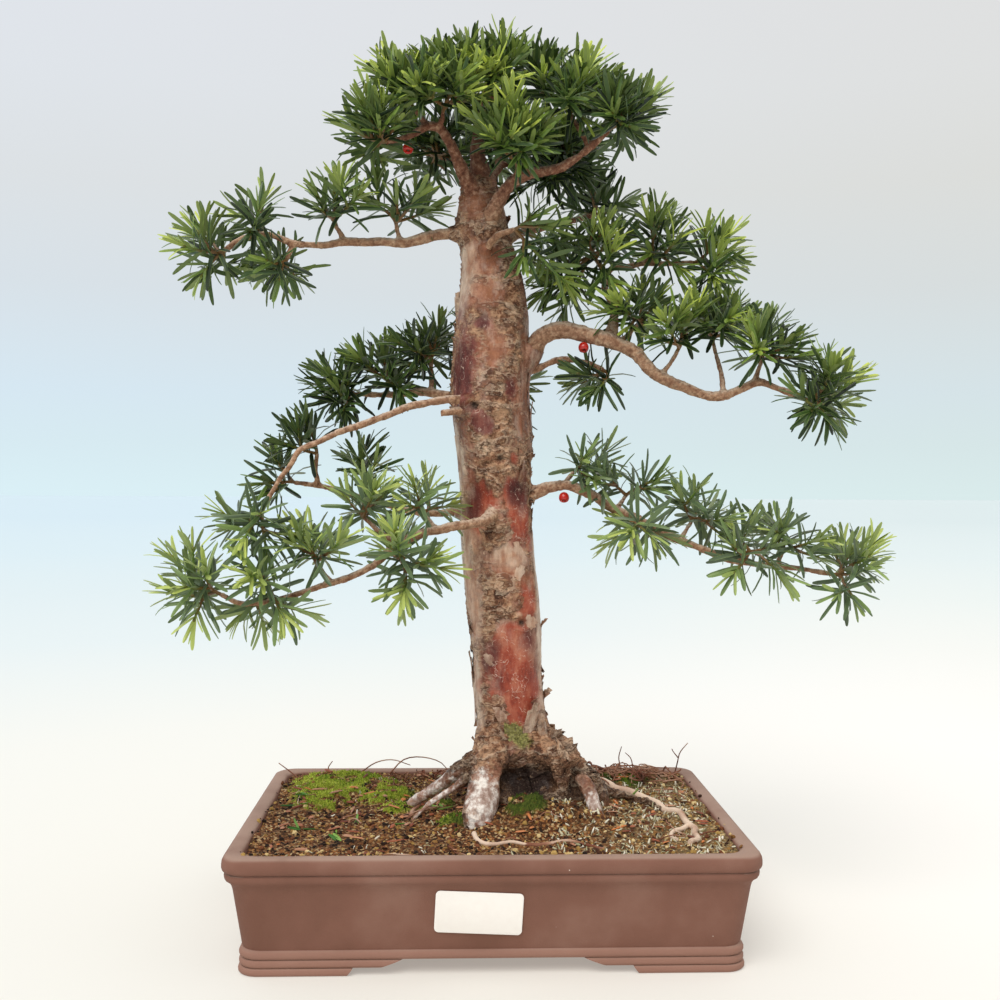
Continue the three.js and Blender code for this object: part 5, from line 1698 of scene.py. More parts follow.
@dataclass
class Foliage:
    """The needles, spray by spray, on green-brown shoots that end in buds."""

    length: float = 23 * MM
    width: float = 2.85 * MM
    thick: float = 0.55 * MM
    spacing: float = 1.1 * MM
    leafy: float = 0.84
    sweep_first: float = 1.3
    sweep_last: float = 0.2
    golden: float = 2.39996
    lift: float = 0.3
    crown_lift: float = 0.62
    # Each row: how far along the needle, and its width and thickness there, as shares
    outline: Sequence[Point] = (
        (0, 0.36, 0.9), (0.16, 0.88, 1), (0.5, 1, 1), (0.84, 0.93, 0.9), (0.97, 0.55, 0.6), (1, 0.16, 0.4),
    )
    # How bright each branch's needles are, from 0 to 1; lower at the back, which is partly painted shade
    tones: dict[str, float] = field(default_factory=lambda: {
        "left_top": 0.46, "crown_left": 0.41, "crown_top": 0.34, "crown_right": 0.26, "crown_back": 0.12,
        "right_small": 0.44, "right_up": 0.42, "right_behind": 0.14, "right_main": 0.46, "right_stub": 0.3,
        "right_low": 0.5, "left_mid": 0.42, "left_back": 0.27, "left_back_low": 0.32, "left_low": 0.95,
        "back_mid": 0.24,
    })
    # The share of grey bloom on the needles of the lower branches
    bloom: dict[str, float] = field(default_factory=lambda: {
        "left_low": 0.3, "right_low": 0.28, "left_mid": 0.2, "left_top": 0.06,
    })
    # Where new growth is brightest: X and height, in millimetres
    young: Profile = (
        (-165, 236), (-67, 244), (241, 246), (142, 437), (0, 522), (6, 500), (50, 542), (61, 424),
        (228, 352), (-215, 236), (-80, 536), (78, 250), (-196, 436), (104, 530), (-60, 540), (122, 362),
    )
    young_reach: float = 20
    grain: Grain = field(default_factory=lambda: Grain(5))

    def _needle(self) -> Pattern:
        """One needle along +Z, a unit long, with its upper side towards +Y, extruded from its foot."""
        needle = Bench.disc(4)
        with Bench.editing(needle, "FACE"):
            Bench.resize(*self.outline[0][1:])
            Bench.raise_rows([(0, share, wide, thick) for share, wide, thick in self.outline])
        return Pattern.taken_from(needle)

    def _bud(self) -> Pattern:
        """One plump bud along +Z, a unit long."""
        bpy.ops.mesh.primitive_ico_sphere_add(subdivisions=1, radius=0.5, location=(0, 0, 0))
        bud = bpy.context.object
        with Bench.editing(bud):
            bpy.ops.transform.translate(value=(0, 0, 0.4))
        return Pattern.taken_from(bud)

    def _bend(
        self, needle: Pattern, roots: Rows, ways: Rows, tops: Rows, sizes: Rows
    ) -> Rows:
        """Copies of the needle, each bent back from its upper side.

        Args:
            needle: the straight needle.
            roots: where each copy starts.
            ways: the way that it leaves.
            tops: the way that its upper side faces there.
            sizes: for each copy its length, its width and its whole bend in radians.

        Returns:
            The points of every copy, copy by copy.
        """
        length, width, bend = (sizes[:, i, None] for i in range(3))
        share = needle.points[None, :, 2]
        turn = bend * share + 1e-6
        forward = length * np.sin(turn) / turn * share
        fall = length * (1 - np.cos(turn)) / turn * share
        across = needle.points[None, :, 0] * width / 2
        rise = needle.points[None, :, 1] * self.thick / 2
        rise = rise - np.abs(needle.points[None, :, 0]) * width * 0.1
        sides = np.cross(ways, tops)
        along = forward + rise * np.sin(turn)
        up = rise * np.cos(turn) - fall
        return roots[:, None] + (
            along[..., None] * ways[:, None] + up[..., None] * tops[:, None] + across[..., None] * sides[:, None]
        )

    def _needles_on(
        self, line: Rows, bright: float, lift: float, draw: Draws
    ) -> list[Rows]:
        """Sets the needles round one shoot in a spiral, wide at its foot and drawn together at its tip.

        Args:
            line: the shoot's line, in metres.
            bright: how bright its needles are, from 0 to 1.
            lift: how far they turn upwards.
            draw: the random numbers.

        Returns:
            Roots, ways, tops, sizes and tones of the needles.
        """
        length = length_of(line)
        leafy = min(self.leafy * length, 34 * MM)
        count = max(int(leafy / self.spacing), 12)
        share = (np.arange(count) + 0.5) / count
        share = 1 - (1 - share) ** 1.25
        place = (1 - leafy / length + leafy / length * share) * (len(line) - 1)
        low = np.minimum(place.astype(int), len(line) - 2)
        part = (place - low)[:, None]
        roots = line[low] * (1 - part) + line[low + 1] * part
        axes = unit(line[low + 1] - line[low])
        frames = frames_from(axes, np.arange(count) * self.golden + draw.uniform(0, 6.3))
        outs = frames[:, 0]
        sweep = self.sweep_first + (self.sweep_last - self.sweep_first) * share**1.15
        sweep = (sweep + draw.normal(0, 0.14, count))[:, None]
        ways = np.cos(sweep) * axes + np.sin(sweep) * outs
        ways = unit(ways + np.array([0, 0, lift]) * np.sin(sweep))
        facing = axes * 0.75 + np.array([0, 0, 0.7])
        tops = unit(facing - (facing * ways).sum(1, keepdims=True) * ways)
        roll = draw.normal(0, 0.62, count)[:, None]
        tops = np.cos(roll) * tops + np.sin(roll) * np.cross(ways, tops)
        long = self.length * (1.06 - 0.34 * share**3) * draw.uniform(0.84, 1.14, count)
        wide = self.width * draw.uniform(0.86, 1.1, count) * (1.04 - 0.14 * share)
        bend = draw.normal(0.3, 0.22, count) + 0.45 * (1 - share) ** 1.5
        # Darker towards the shoot's foot: older needles there, with painted shade inside the spray
        tone = 0.01 + bright * (0.12 + 1.3 * share**1.7) + draw.normal(0, 0.06, count)
        tone = np.clip(tone, 0, 1)
        return [roots, ways, tops, np.column_stack([long, wide, bend]), tone]

    def _brightness(self, branch: str, line: Rows, draw: Draws) -> float:
        """How bright one shoot's needles are.

        Args:
            branch: the branch that bears it.
            line: the shoot's line, in metres.
            draw: the random numbers.

        Returns:
            A value from 0 to 1.
        """
        tip = line[-1] / MM
        away = min(math.hypot(tip[0] - x, tip[2] - z) for x, z in self.young)
        lift = (tip[2] - line[0][2] / MM) / 30
        patch = self.grain.cloud(line[-1:], 40 * MM)[0] - 0.5
        # Lower further back and higher where the shoot rises: painted shade and painted light, on a random patch
        bright = self.tones[branch] + 0.45 * patch + 0.12 * lift - 0.0008 * tip[1] + draw.normal(0, 0.07)
        bright += 0.5 * math.exp(-((away / self.young_reach) ** 2))
        return float(np.clip(bright, 0.05, 1))

    def _spray(
        self, plan: SprayPlan, needle: Pattern, bud: Pattern, draw: Draws
    ) -> Piece:
        """Models one spray.

        Args:
            plan: where it grows.
            needle: the needle that is copied.
            bud: the bud that is copied.
            draw: the random numbers.

        Returns:
            One mesh of needles, shoots and buds.
        """
        lines = [shoot * MM for shoot in plan.shoots]
        sets = []
        for line in lines:
            bright = self._brightness(plan.branch, line, draw)
            lift = self.crown_lift if "crown" in plan.branch else self.lift
            sets.append(self._needles_on(line, bright, lift, draw))
        roots, ways, tops, sizes, tone = (np.concatenate(part) for part in zip(*sets))
        copies = len(roots)
        leaves = needle.strew(
            self._bend(needle, roots, ways, tops, sizes), tone=tone, woody=np.zeros(copies),
            bloom=np.full(copies, self.bloom.get(plan.branch, 0.0)),
        )
        aside, face = np.abs(needle.points[:, 0]), needle.points[:, 1]
        under = (face < -0.05) * 1.0 + (np.abs(face) < 0.05) * 0.3
        Bench.mark(leaves, rib=np.tile(1 - np.clip(aside, 0, 1), copies), under=np.tile(under, copies))
        t = np.linspace(0, 1, 12)
        stems = Bench.bars([(evenly(line, 12), (1.25 - 0.5 * t) * MM) for line in lines], 1)
        away = np.linalg.norm(Bench.points(stems) - lines[0][0], axis=1) / (30 * MM)
        Bench.mark(stems, woody=np.clip(1.15 - away, 0.1, 1))
        ends = np.array([line[-1] for line in lines])
        heads = unit(np.array([line[-1] - line[-2] for line in lines]))
        plump = np.tile([2.0 * MM, 2.0 * MM, 3.4 * MM], (len(lines), 1))
        seats = bud.placed(ends, frames_from(heads, np.zeros(len(lines))), plump)
        buds = bud.strew(seats, woody=np.full(len(lines), 0.55))
        return Bench.join(leaves, stems, buds)

    def build(self, plans: Sequence[SprayPlan], finish: Material) -> None:
        """Models every spray.

        Args:
            plans: where they grow.
            finish: their material.
        """
        needle, bud = self._needle(), self._bud()
        draw = np.random.default_rng(1849)
        for plan in plans:
            spray = self._spray(plan, needle, bud, draw)
            Bench.shade(spray, 32)
            Bench.settle(spray, f"needles_{plan.name}", "needles", finish, [f"spray_{plan.name}"])


@dataclass
class Fruits:
    """The red arils, each a fleshy cup round a dark seed, and the one green seed."""

    radius: float = 3.4 * MM
    # The cup from its stalk round its rim and down inside it: distance from its axis, and height, in radii
    cup: Profile = (
        (0, -1), (0.35, -0.96), (0.68, -0.74), (0.92, -0.38), (1, 0.05), (0.96, 0.42), (0.82, 0.72),
        (0.62, 0.84), (0.46, 0.78), (0.4, 0.6), (0.36, 0.3), (0, 0.2),
    )
    kernel: Profile = ((0, -0.3), (0.3, -0.1), (0.36, 0.25), (0.24, 0.55), (0, 0.7))
    unripe: Profile = (
        (0, -1.05), (0.42, -1), (0.68, -0.8), (0.84, -0.5), (0.9, -0.2), (0.86, -0.1), (0.8, -0.02),
        (0.76, 0.3), (0.62, 0.72), (0.36, 1.1), (0.14, 1.34), (0, 1.42),
    )

    def _turned(self, profile: Profile, node: str) -> Piece:
        """Spins a profile about the axis of a fruit in the model.

        Args:
            profile: distance from the axis, and height, in radii.
            node: the model's fruit.

        Returns:
            The closed mesh.
        """
        low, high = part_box(node)
        points = np.array([(r, 0, z) for r, z in profile]) * self.radius
        piece = Bench.mesh(points, [(i, i + 1) for i in range(len(points) - 1)], [])
        with Bench.editing(piece):
            bpy.ops.mesh.spin(steps=20, angle=math.tau, center=(0, 0, 0), axis=(0, 0, 1))
            bpy.ops.mesh.select_all(action="SELECT")
            bpy.ops.mesh.remove_doubles(threshold=0.01 * MM)
            Bench.close()
        hang = Vector((0, -0.5, -1)) if "berry" in node else Vector((0, 0.1, -1))
        piece.data.transform(Vector((0, 0, 1)).rotation_difference(hang).to_matrix().to_4x4())
        piece.location = (low + high) / 2 - HOME
        return piece

    def build(self, flesh: Material, seed: Material, green: Material) -> None:
        """Models the fruits where the model's own hang.

        Args:
            flesh: the arils' finish.
            seed: the finish of the seeds inside them.
            green: the unripe seed's finish.
        """
        for node in sorted(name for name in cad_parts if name.startswith("berry")):
            aril, kernel = self._turned(self.cup, node), self._turned(self.kernel, node)
            Bench.shade(aril)
            Bench.shade(kernel)
            Bench.settle(aril, node.replace("berry", "aril"), "aril", flesh, [node])
            Bench.settle(kernel, node.replace("berry", "kernel"), "seed", seed)
        unripe = self._turned(self.unripe, "unripe_seed")
        Bench.shade(unripe, 60)
        Bench.settle(unripe, "green_seed", "seed", green, ["unripe_seed"])


@dataclass
class Ground:
    """The soil's surface with its moss, crumbs and litter."""

    edge: float = 66.2
    mound: float = 15.5
    spread: float = 62
    lump: float = 1.3
    half: tuple[float, float] = (143.2, 100.7)
    corner: float = 9
    # The rim's top, where crumbs have spilt on it
    rim: float = 68.8
    pitch: float = 1.5
    floor: float = 26
    # Moss cushions: middle X and Y, half sizes, and how high they swell
    cushions: Sequence[tuple[float, float, float, float, float]] = (
        (-100, 66, 38, 32, 8), (-78, 34, 28, 20, 6), (-112, 30, 22, 24, 5), (-24, -44, 11, 10, 4),
        (20, -43, 13, 9, 5), (-34, -8, 12, 10, 3), (40, 74, 26, 14, 3), (96, 70, 22, 16, 2.5),
        (-62, -4, 12, 10, 2),
    )
    # Banks of soil: middle X and Y, half sizes, and how high they rise
    banks: Sequence[tuple[float, float, float, float, float]] = (
        (46, -44, 26, 13, 7), (20, -43, 15, 11, 7), (96, 84, 44, 16, 4),
    )
    # How many places are tried for crumbs and moss tips, and how many needles, bits and curls there are
    crumbs: int = 5200
    tips: int = 30000
    fallen: int = 60
    bits: int = 80
    curls: tuple[int, int] = (1000, 150)
    # Dry twigs that stand out of the soil at the back
    standing: Sequence[Sequence[Point]] = (
        [(138, 88, 66), (141, 89, 77), (143, 90, 84), (149, 91, 91)], [(142, 90, 80), (138, 90, 85), (137, 90, 87)],
        [(99, 84, 72), (97, 84, 82), (99, 84, 90)], [(108, 86, 72), (106, 86, 81), (102, 86, 85)],
        [(-136, 90, 66), (-143, 92, 71), (-151, 92, 77)], [(-113, 92, 66), (-115, 93, 73), (-112, 93, 78)],
        [(-92, 88, 70), (-80, 88, 78), (-68, 88, 80), (-55, 88, 76)],
        [(-70, 86, 70), (-60, 88, 80), (-48, 88, 82), (-33, 88, 78), (-26, 88, 70)],
    )
    # Bare rootlets on the soil: the places that each one passes, its radius and how far it stands up
    bare_roots: Sequence[tuple[Sequence[tuple[float, float]], float, float]] = (
        ([(-12, -64), (-8, -76), (2, -78), (12, -79), (22, -80)], 1.5, 2.4),
        ([(20, -79), (32, -84), (44, -82), (57, -85), (66, -90)], 1.3, 1.4),
        ([(-52, -24), (-46, -6), (-36, 16), (-30, 34)], 1.4, 1.4),
        ([(74, 58), (90, 41), (103, 21), (113, -2), (121, -28), (125, -52), (124, -72), (118, -86)], 2.7, 4.5),
        ([(123, -40), (114, -50), (110, -62), (112, -76)], 1.6, 3.4),
    )
    # Fine rootlets: how many lie at the back right, all over the soil, and at the back left
    fine_roots: tuple[int, int, int] = (118, 38, 14)
    grain: Grain = Grain(23)

    def height(self, x: Rows, y: Rows) -> Rows:
        """The smooth surface's height at places in millimetres."""
        away = np.hypot(x - TRUNK[0][1], y * 1.15)
        lumps = np.sin(x * 0.083 + 1) * np.cos(y * 0.11) + 0.5 * np.sin(x * 0.19 - y * 0.15)
        rise = self.mound * np.exp(-((away / self.spread) ** 2)) + self.lump * lumps
        for middle_x, middle_y, wide, deep, high in self.banks:
            rise = rise + high * np.exp(-(((x - middle_x) / wide) ** 2) - ((y - middle_y) / deep) ** 2)
        return self.edge + rise

    def moss(self, x: Rows, y: Rows) -> tuple[Rows, Rows]:
        """The moss's field, a half where it ends, and how high it swells in millimetres."""
        cover, swell = np.zeros(len(x)), np.zeros(len(x))
        ragged = 0.6 * (self.grain.cloud(np.column_stack([x, y, 0 * x]), 16, 3) - 0.5)
        for middle_x, middle_y, wide, deep, high in self.cushions:
            away = np.hypot((x - middle_x) / wide, (y - middle_y) / deep) + ragged
            cover = np.maximum(cover, np.clip(1 - 0.5 * away, 0, 1))
            swell = np.maximum(swell, high * step(1.1, 0.5, away))
        gaps = step(0.52, 0.64, self.grain.cloud(np.column_stack([x, 1.6 * y, 0 * x]), 9, 2))
        return cover * (1 - 0.5 * gaps), swell

    def surface(self, x: Rows, y: Rows) -> Rows:
        """The real surface's height at places in millimetres, with clods and moss."""
        flat = np.column_stack([x, y, 0 * x])
        clods = 2.2 * (self.grain.cloud(flat, 9, 3) - 0.5)
        cover, swell = self.moss(x, y)
        tufts = self.grain.cloud(flat, 3.2, 2) * 1.6 * step(0.45, 0.6, cover)
        left = np.minimum(self.half[0] - np.abs(x), self.half[1] - np.abs(y))
        inside = step(0, 5, left)
        soil = self.height(x, y) + (clods + swell * 0.6 + tufts) * (0.5 + 0.5 * inside) + 0.6 * (1 - inside)
        return np.where(left < -0.3, np.maximum(soil, self.rim), soil)

    def _soil(self, finish: Material) -> None:
        """The body of soil: a fine grid pressed into the pot's outline, then extruded down."""
        cells = [int(2 * half / self.pitch) for half in self.half]
        bpy.ops.mesh.primitive_grid_add(x_subdivisions=cells[0], y_subdivisions=cells[1], size=2)
        soil = bpy.context.object
        points = Bench.points(soil)
        x, y = points[:, 0] * self.half[0], points[:, 1] * self.half[1]
        over_x = np.abs(x) - (self.half[0] - self.corner)
        over_y = np.abs(y) - (self.half[1] - self.corner)
        long = np.hypot(np.maximum(over_x, 0), np.maximum(over_y, 0))
        reach = np.maximum(np.maximum(over_x, over_y), 1e-6)
        pull = np.where((over_x > 0) & (over_y > 0), reach / np.maximum(long, 1e-6), 1)
        x = np.sign(x) * np.where(over_x > 0, self.half[0] - self.corner + over_x * pull, np.abs(x))
        y = np.sign(y) * np.where(over_y > 0, self.half[1] - self.corner + over_y * pull, np.abs(y))
        cover, _ = self.moss(x, y)
        Bench.move(soil, np.column_stack([x, y, self.surface(x, y)]) * MM)
        with Bench.editing(soil, "EDGE"):
            bpy.ops.mesh.select_all(action="DESELECT")
            bpy.ops.mesh.select_non_manifold()
            Bench.extrude(0, 0, -5 * MM)
            Bench.resize(0.947, 0.926, 0, (0, 0, self.floor * MM))
            bpy.ops.mesh.edge_face_add()
            Bench.close()
        marks = np.zeros(len(soil.data.vertices))
        marks[:len(cover)] = cover
        Bench.mark(soil, moss=marks)
        Bench.shade(soil)
        Bench.settle(soil, "potting_soil", "soil", finish, ["soil"])

    def _spots(self, draw: Draws, count: int, box: Sequence[float]) -> Rows:
        """Random places on the soil, in millimetres.

        Args:
            draw: the random numbers.
            count: how many to give back.
            box: lowest X, highest X, lowest Y and highest Y.

        Returns:
            Rows of X and Y, clear of the trunk.
        """
        places = np.column_stack([draw.uniform(*box[:2], 3 * count), draw.uniform(*box[2:], 3 * count)])
        clear = np.hypot(places[:, 0] - TRUNK[0][1], places[:, 1]) > 36
        return places[clear][:count]

    def _strew(
        self, pattern: Pattern, places: Rows, sizes: Rows, ups: Rows, turns: Rows,
        sink: float,
    ) -> Rows:
        """Copies of a pattern laid on the soil.

        Args:
            pattern: what is laid.
            places: rows of X and Y, in millimetres.
            sizes: each copy's size along its own axes, in millimetres.
            ups: the way of each copy's Z.
            turns: how far each copy is turned about it.
            sink: how far the copies' origins lie below the surface, in millimetres.

        Returns:
            The points of every copy.
        """
        height = self.surface(places[:, 0], places[:, 1]) - sink
        seats = np.column_stack([places, height]) * MM
        return pattern.placed(seats, frames_from(unit(ups), turns), sizes * MM)

    def _crumbs(self, finish: Material) -> None:
        """Grains of soil: small lumps of many sizes."""
        draw = np.random.default_rng(61)
        bpy.ops.mesh.primitive_ico_sphere_add(subdivisions=1, radius=1, location=(0, 0, 0))
        grain = Pattern.taken_from(bpy.context.object)
        places = self._spots(draw, self.crumbs, (-145.5, 145.5, -103, 103))
        cover, _ = self.moss(places[:, 0], places[:, 1])
        spilt = (np.abs(places[:, 0]) > self.half[0]) | (np.abs(places[:, 1]) > self.half[1])
        chance = np.where(spilt, 0.22, np.where(cover < 0.5, 1, 0.12))
        places = places[draw.random(len(places)) < chance]
        count = len(places)
        size = 0.42 + 1.25 * draw.random(count) ** 2.3
        sizes = size[:, None] * draw.uniform(0.5, 1.5, (count, 3))
        ups = draw.normal(0, 1, (count, 3))
        copies = self._strew(grain, places, sizes, ups, draw.uniform(0, 6, count), 0.0)
        copies = copies + draw.normal(0, 0.12 * MM, copies.shape)
        tone = draw.random(count) ** 1.7 + 0.16 * step(20, 90, places[:, 0]) - 0.06
        Bench.settle(grain.strew(copies, tone=np.clip(tone, 0, 1)), "soil_crumbs", "soil", finish)

    def _tufts(self, finish: Material) -> None:
        """Moss: thousands of short leafy tips on the cushions."""
        draw = np.random.default_rng(62)
        bpy.ops.mesh.primitive_cone_add(
            vertices=3, radius1=1, radius2=0, depth=1, end_fill_type="NOTHING", location=(0, 0, 0.5)
        )
        bpy.ops.object.transform_apply(location=True, rotation=False, scale=False)
        tip = Pattern.taken_from(bpy.context.object)
        places = self._spots(draw, self.tips, (-138, 138, -95, 95))
        cover, _ = self.moss(places[:, 0], places[:, 1])
        places = places[cover > 0.5 + 0.05 * draw.normal(0, 1, len(places))]
        count = len(places)
        high = draw.uniform(1.1, 3.0, count)
        wide = draw.uniform(0.35, 0.65, count)
        ups = draw.normal(0, 0.45, (count, 3)) + [0, 0, 1]
        copies = self._strew(tip, places, np.column_stack([wide, wide, high]), ups, draw.uniform(0, 6, count), 0.4)
        flat = np.column_stack([places, np.zeros(count)])
        tone = 0.15 + 0.85 * self.grain.cloud(flat, 14, 2) + draw.normal(0, 0.14, count)
        # Moss tips darker right of x = -55 mm: painted shade
        tone -= 0.65 * (places[:, 0] > -55)
        Bench.settle(tip.strew(copies, tone=np.clip(tone, 0, 1)), "moss_tips", "soil", finish)

    def _fallen(self, finish: Material) -> None:
        """Fallen needles, dry and orange-brown, lying flat."""
        draw = np.random.default_rng(63)
        blade = Bench.disc(8, 0.5)
        with Bench.editing(blade, "FACE"):
            bpy.ops.mesh.inset(thickness=0.12)
            bpy.ops.transform.translate(value=(0, 0, 0.6))
        Bench.apply(blade, "SOLIDIFY", thickness=0.3, offset=-1)
        blade = Pattern.taken_from(blade)
        places = self._spots(draw, self.fallen + self.bits, (-136, 138, -96, 96))
        count = len(places)
        sizes = np.column_stack([draw.uniform(8, 15, count), draw.uniform(1.6, 2.8, count), np.full(count, 1.0)])
        sizes[self.fallen:, 0] = draw.uniform(3.5, 7, self.bits)
        sizes[self.fallen:, 1] = draw.uniform(1.5, 3.4, self.bits)
        ups = draw.normal(0, 0.16, (count, 3)) + [0, 0, 1]
        copies = self._strew(blade, places, sizes, ups, draw.uniform(0, 6, count), -0.9)
        fallen = blade.strew(copies, tone=draw.random(count))
        Bench.shade(fallen, 50)
        Bench.settle(fallen, "fallen_needles", "needles", finish)

    def _bits(self, finish: Material) -> None:
        """Short pale curls of lichen and dry moss, mostly at the right."""
        draw = np.random.default_rng(64)
        curl = Bench.disc(4, 0.5)
        with Bench.editing(curl, "FACE"):
            for lift, along in ((0.35, 1.0), (-0.1, 1.1), (-0.5, 0.8)):
                Bench.extrude(along, 0, 0.8 + lift)
                bpy.ops.transform.resize(value=(0.82, 0.82, 0.82))
            Bench.close()
        curl = Pattern.taken_from(curl)
        right = self._spots(draw, self.curls[0], (36, 141, -98, 70))
        rest = self._spots(draw, self.curls[1], (-140, 141, -98, 98))
        places = np.vstack([right, rest])
        count = len(places)
        size = draw.uniform(0.5, 1.1, count)
        sizes = size[:, None] * draw.uniform([0.7, 1.2, 0.7], [1.2, 2.2, 1.2], (count, 3))
        ups = draw.normal(0, 0.8, (count, 3)) + [0, 0, 0.5]
        copies = self._strew(curl, places, sizes, ups, draw.uniform(0, 6, count), 0.1)
        bits = curl.strew(copies, tone=draw.random(count))
        Bench.shade(bits)
        Bench.settle(bits, "lichen_bits", "soil", finish)

    def _rootlets(self, finish: Material) -> None:
        """Bare rootlets and dry twigs that lie on the soil or stand out of it."""
        draw = np.random.default_rng(65)
        bars, thick = [], []
        for places, radius, lift in self.bare_roots:
            flat = smooth_line([(x, y, 0) for x, y in places], 36)
            shake = np.column_stack([self.grain.cloud(flat + 50 * i, 12) - 0.5 for i in range(3)])
            flat[:, :2] += shake[:, :2] * 5
            height = self.surface(flat[:, 0], flat[:, 1]) + lift * 0.3
            t = np.linspace(0, 1, 36)
            pale = thick if radius > 1.4 else bars
            pale.append((np.column_stack([flat[:, :2], height]) * MM, radius * (1.1 - 0.5 * t) * MM))
        right, scattered, left = self.fine_roots
        for number in range(right + scattered + left):
            behind = number < right
            start = (draw.uniform(34, 134), draw.uniform(62, 97)) if behind else draw.uniform((-138, -96), (138, 96))
            if number >= right + scattered:
                start = (draw.uniform(-76, -24), draw.uniform(84, 97))
            heading, length = draw.uniform(0, 6.3), draw.uniform(12, 34)
            turn = np.cumsum(draw.normal(0, 0.34, 12)) + heading
            path = np.cumsum(np.column_stack([np.cos(turn), np.sin(turn)]), axis=0) * length / 12 + start
            path = np.clip(path, [-141, -98], [141, 99])
            most = 6 if behind or number >= right + scattered else 3.0
            rise = np.abs(np.sin(np.linspace(0, draw.uniform(1.5, 4), 12))) * draw.uniform(0.6, most)
            height = self.surface(path[:, 0], path[:, 1]) + 0.3 + rise + draw.uniform(0, 2.4) * behind
            radius = draw.uniform(0.3, 0.85 if behind else 0.6)
            bars.append((np.column_stack([path, height]) * MM, np.linspace(radius, 0.6 * radius, 12) * MM))
        for stem in self.standing:
            line = smooth_line(stem, 12) * MM
            bars.append((line, np.linspace(0.55, 0.3, 12) * MM))
        for name, made, paler in (("rootlets", bars, 0.0), ("surface_roots", thick, 0.5)):
            piece = Bench.bars(made, 1 if made is bars else 2)
            tone = Grain(3).cloud(Bench.points(piece), 14 * MM, 2) * 1.2 - 0.1 + paler
            Bench.mark(piece, tone=np.clip(tone, 0, 1))
            Bench.shade(piece)
            Bench.settle(piece, name, "bark", finish)

    def _weeds(self, finish: Material) -> None:
        """A few small seedlings with oval leaves, and thin blades of grass."""
        draw = np.random.default_rng(66)
        leaf = Bench.disc(10, 0.5, 0.5)
        bpy.ops.object.transform_apply(location=True, rotation=False, scale=False)
        with Bench.editing(leaf, "FACE"):
            bpy.ops.mesh.inset(thickness=0.14)
            bpy.ops.transform.translate(value=(0, 0, -0.06))
        Bench.apply(leaf, "SOLIDIFY", thickness=0.04, offset=-1)
        leaf = Pattern.taken_from(leaf)
        clumps = [(-118, -45, 9), (-98, -57, 10), (-32, -24, 9), (-128, 12, 7), (-122, 22, 7), (-60, -40, 6),
                  (34, -28, 12), (94, 8, 9), (-84, -30, 6)]
        places, sizes, ups, turns = [], [], [], []
        for x, y, long in clumps:
            for _ in range(3):
                places.append((x + draw.normal(0, 1.6), y + draw.normal(0, 1.6)))
                sizes.append((long * draw.uniform(0.9, 1.5), long * draw.uniform(0.16, 0.26), long))
                ups.append(draw.normal(0, 0.32, 3) + [0, 0, 1])
                turns.append(draw.uniform(0, 6.3))
        copies = self._strew(leaf, np.array(places), np.array(sizes), np.array(ups), np.array(turns), -1.6)
        weeds = leaf.strew(copies, tone=draw.random(len(places)))
        Bench.shade(weeds, 40)
        Bench.settle(weeds, "seedlings", "needles", finish)

    def build(self, finishes: dict[str, Material]) -> None:
        """Models the soil and all that lies on it.

        Args:
            finishes: the materials by name.
        """
        self._soil(finishes["soil"])
        self._crumbs(finishes["crumb"])
        self._tufts(finishes["moss"])
        self._fallen(finishes["fallen"])
        self._bits(finishes["lichen"])
        self._rootlets(finishes["rootlet"])
        self._weeds(finishes["weed"])


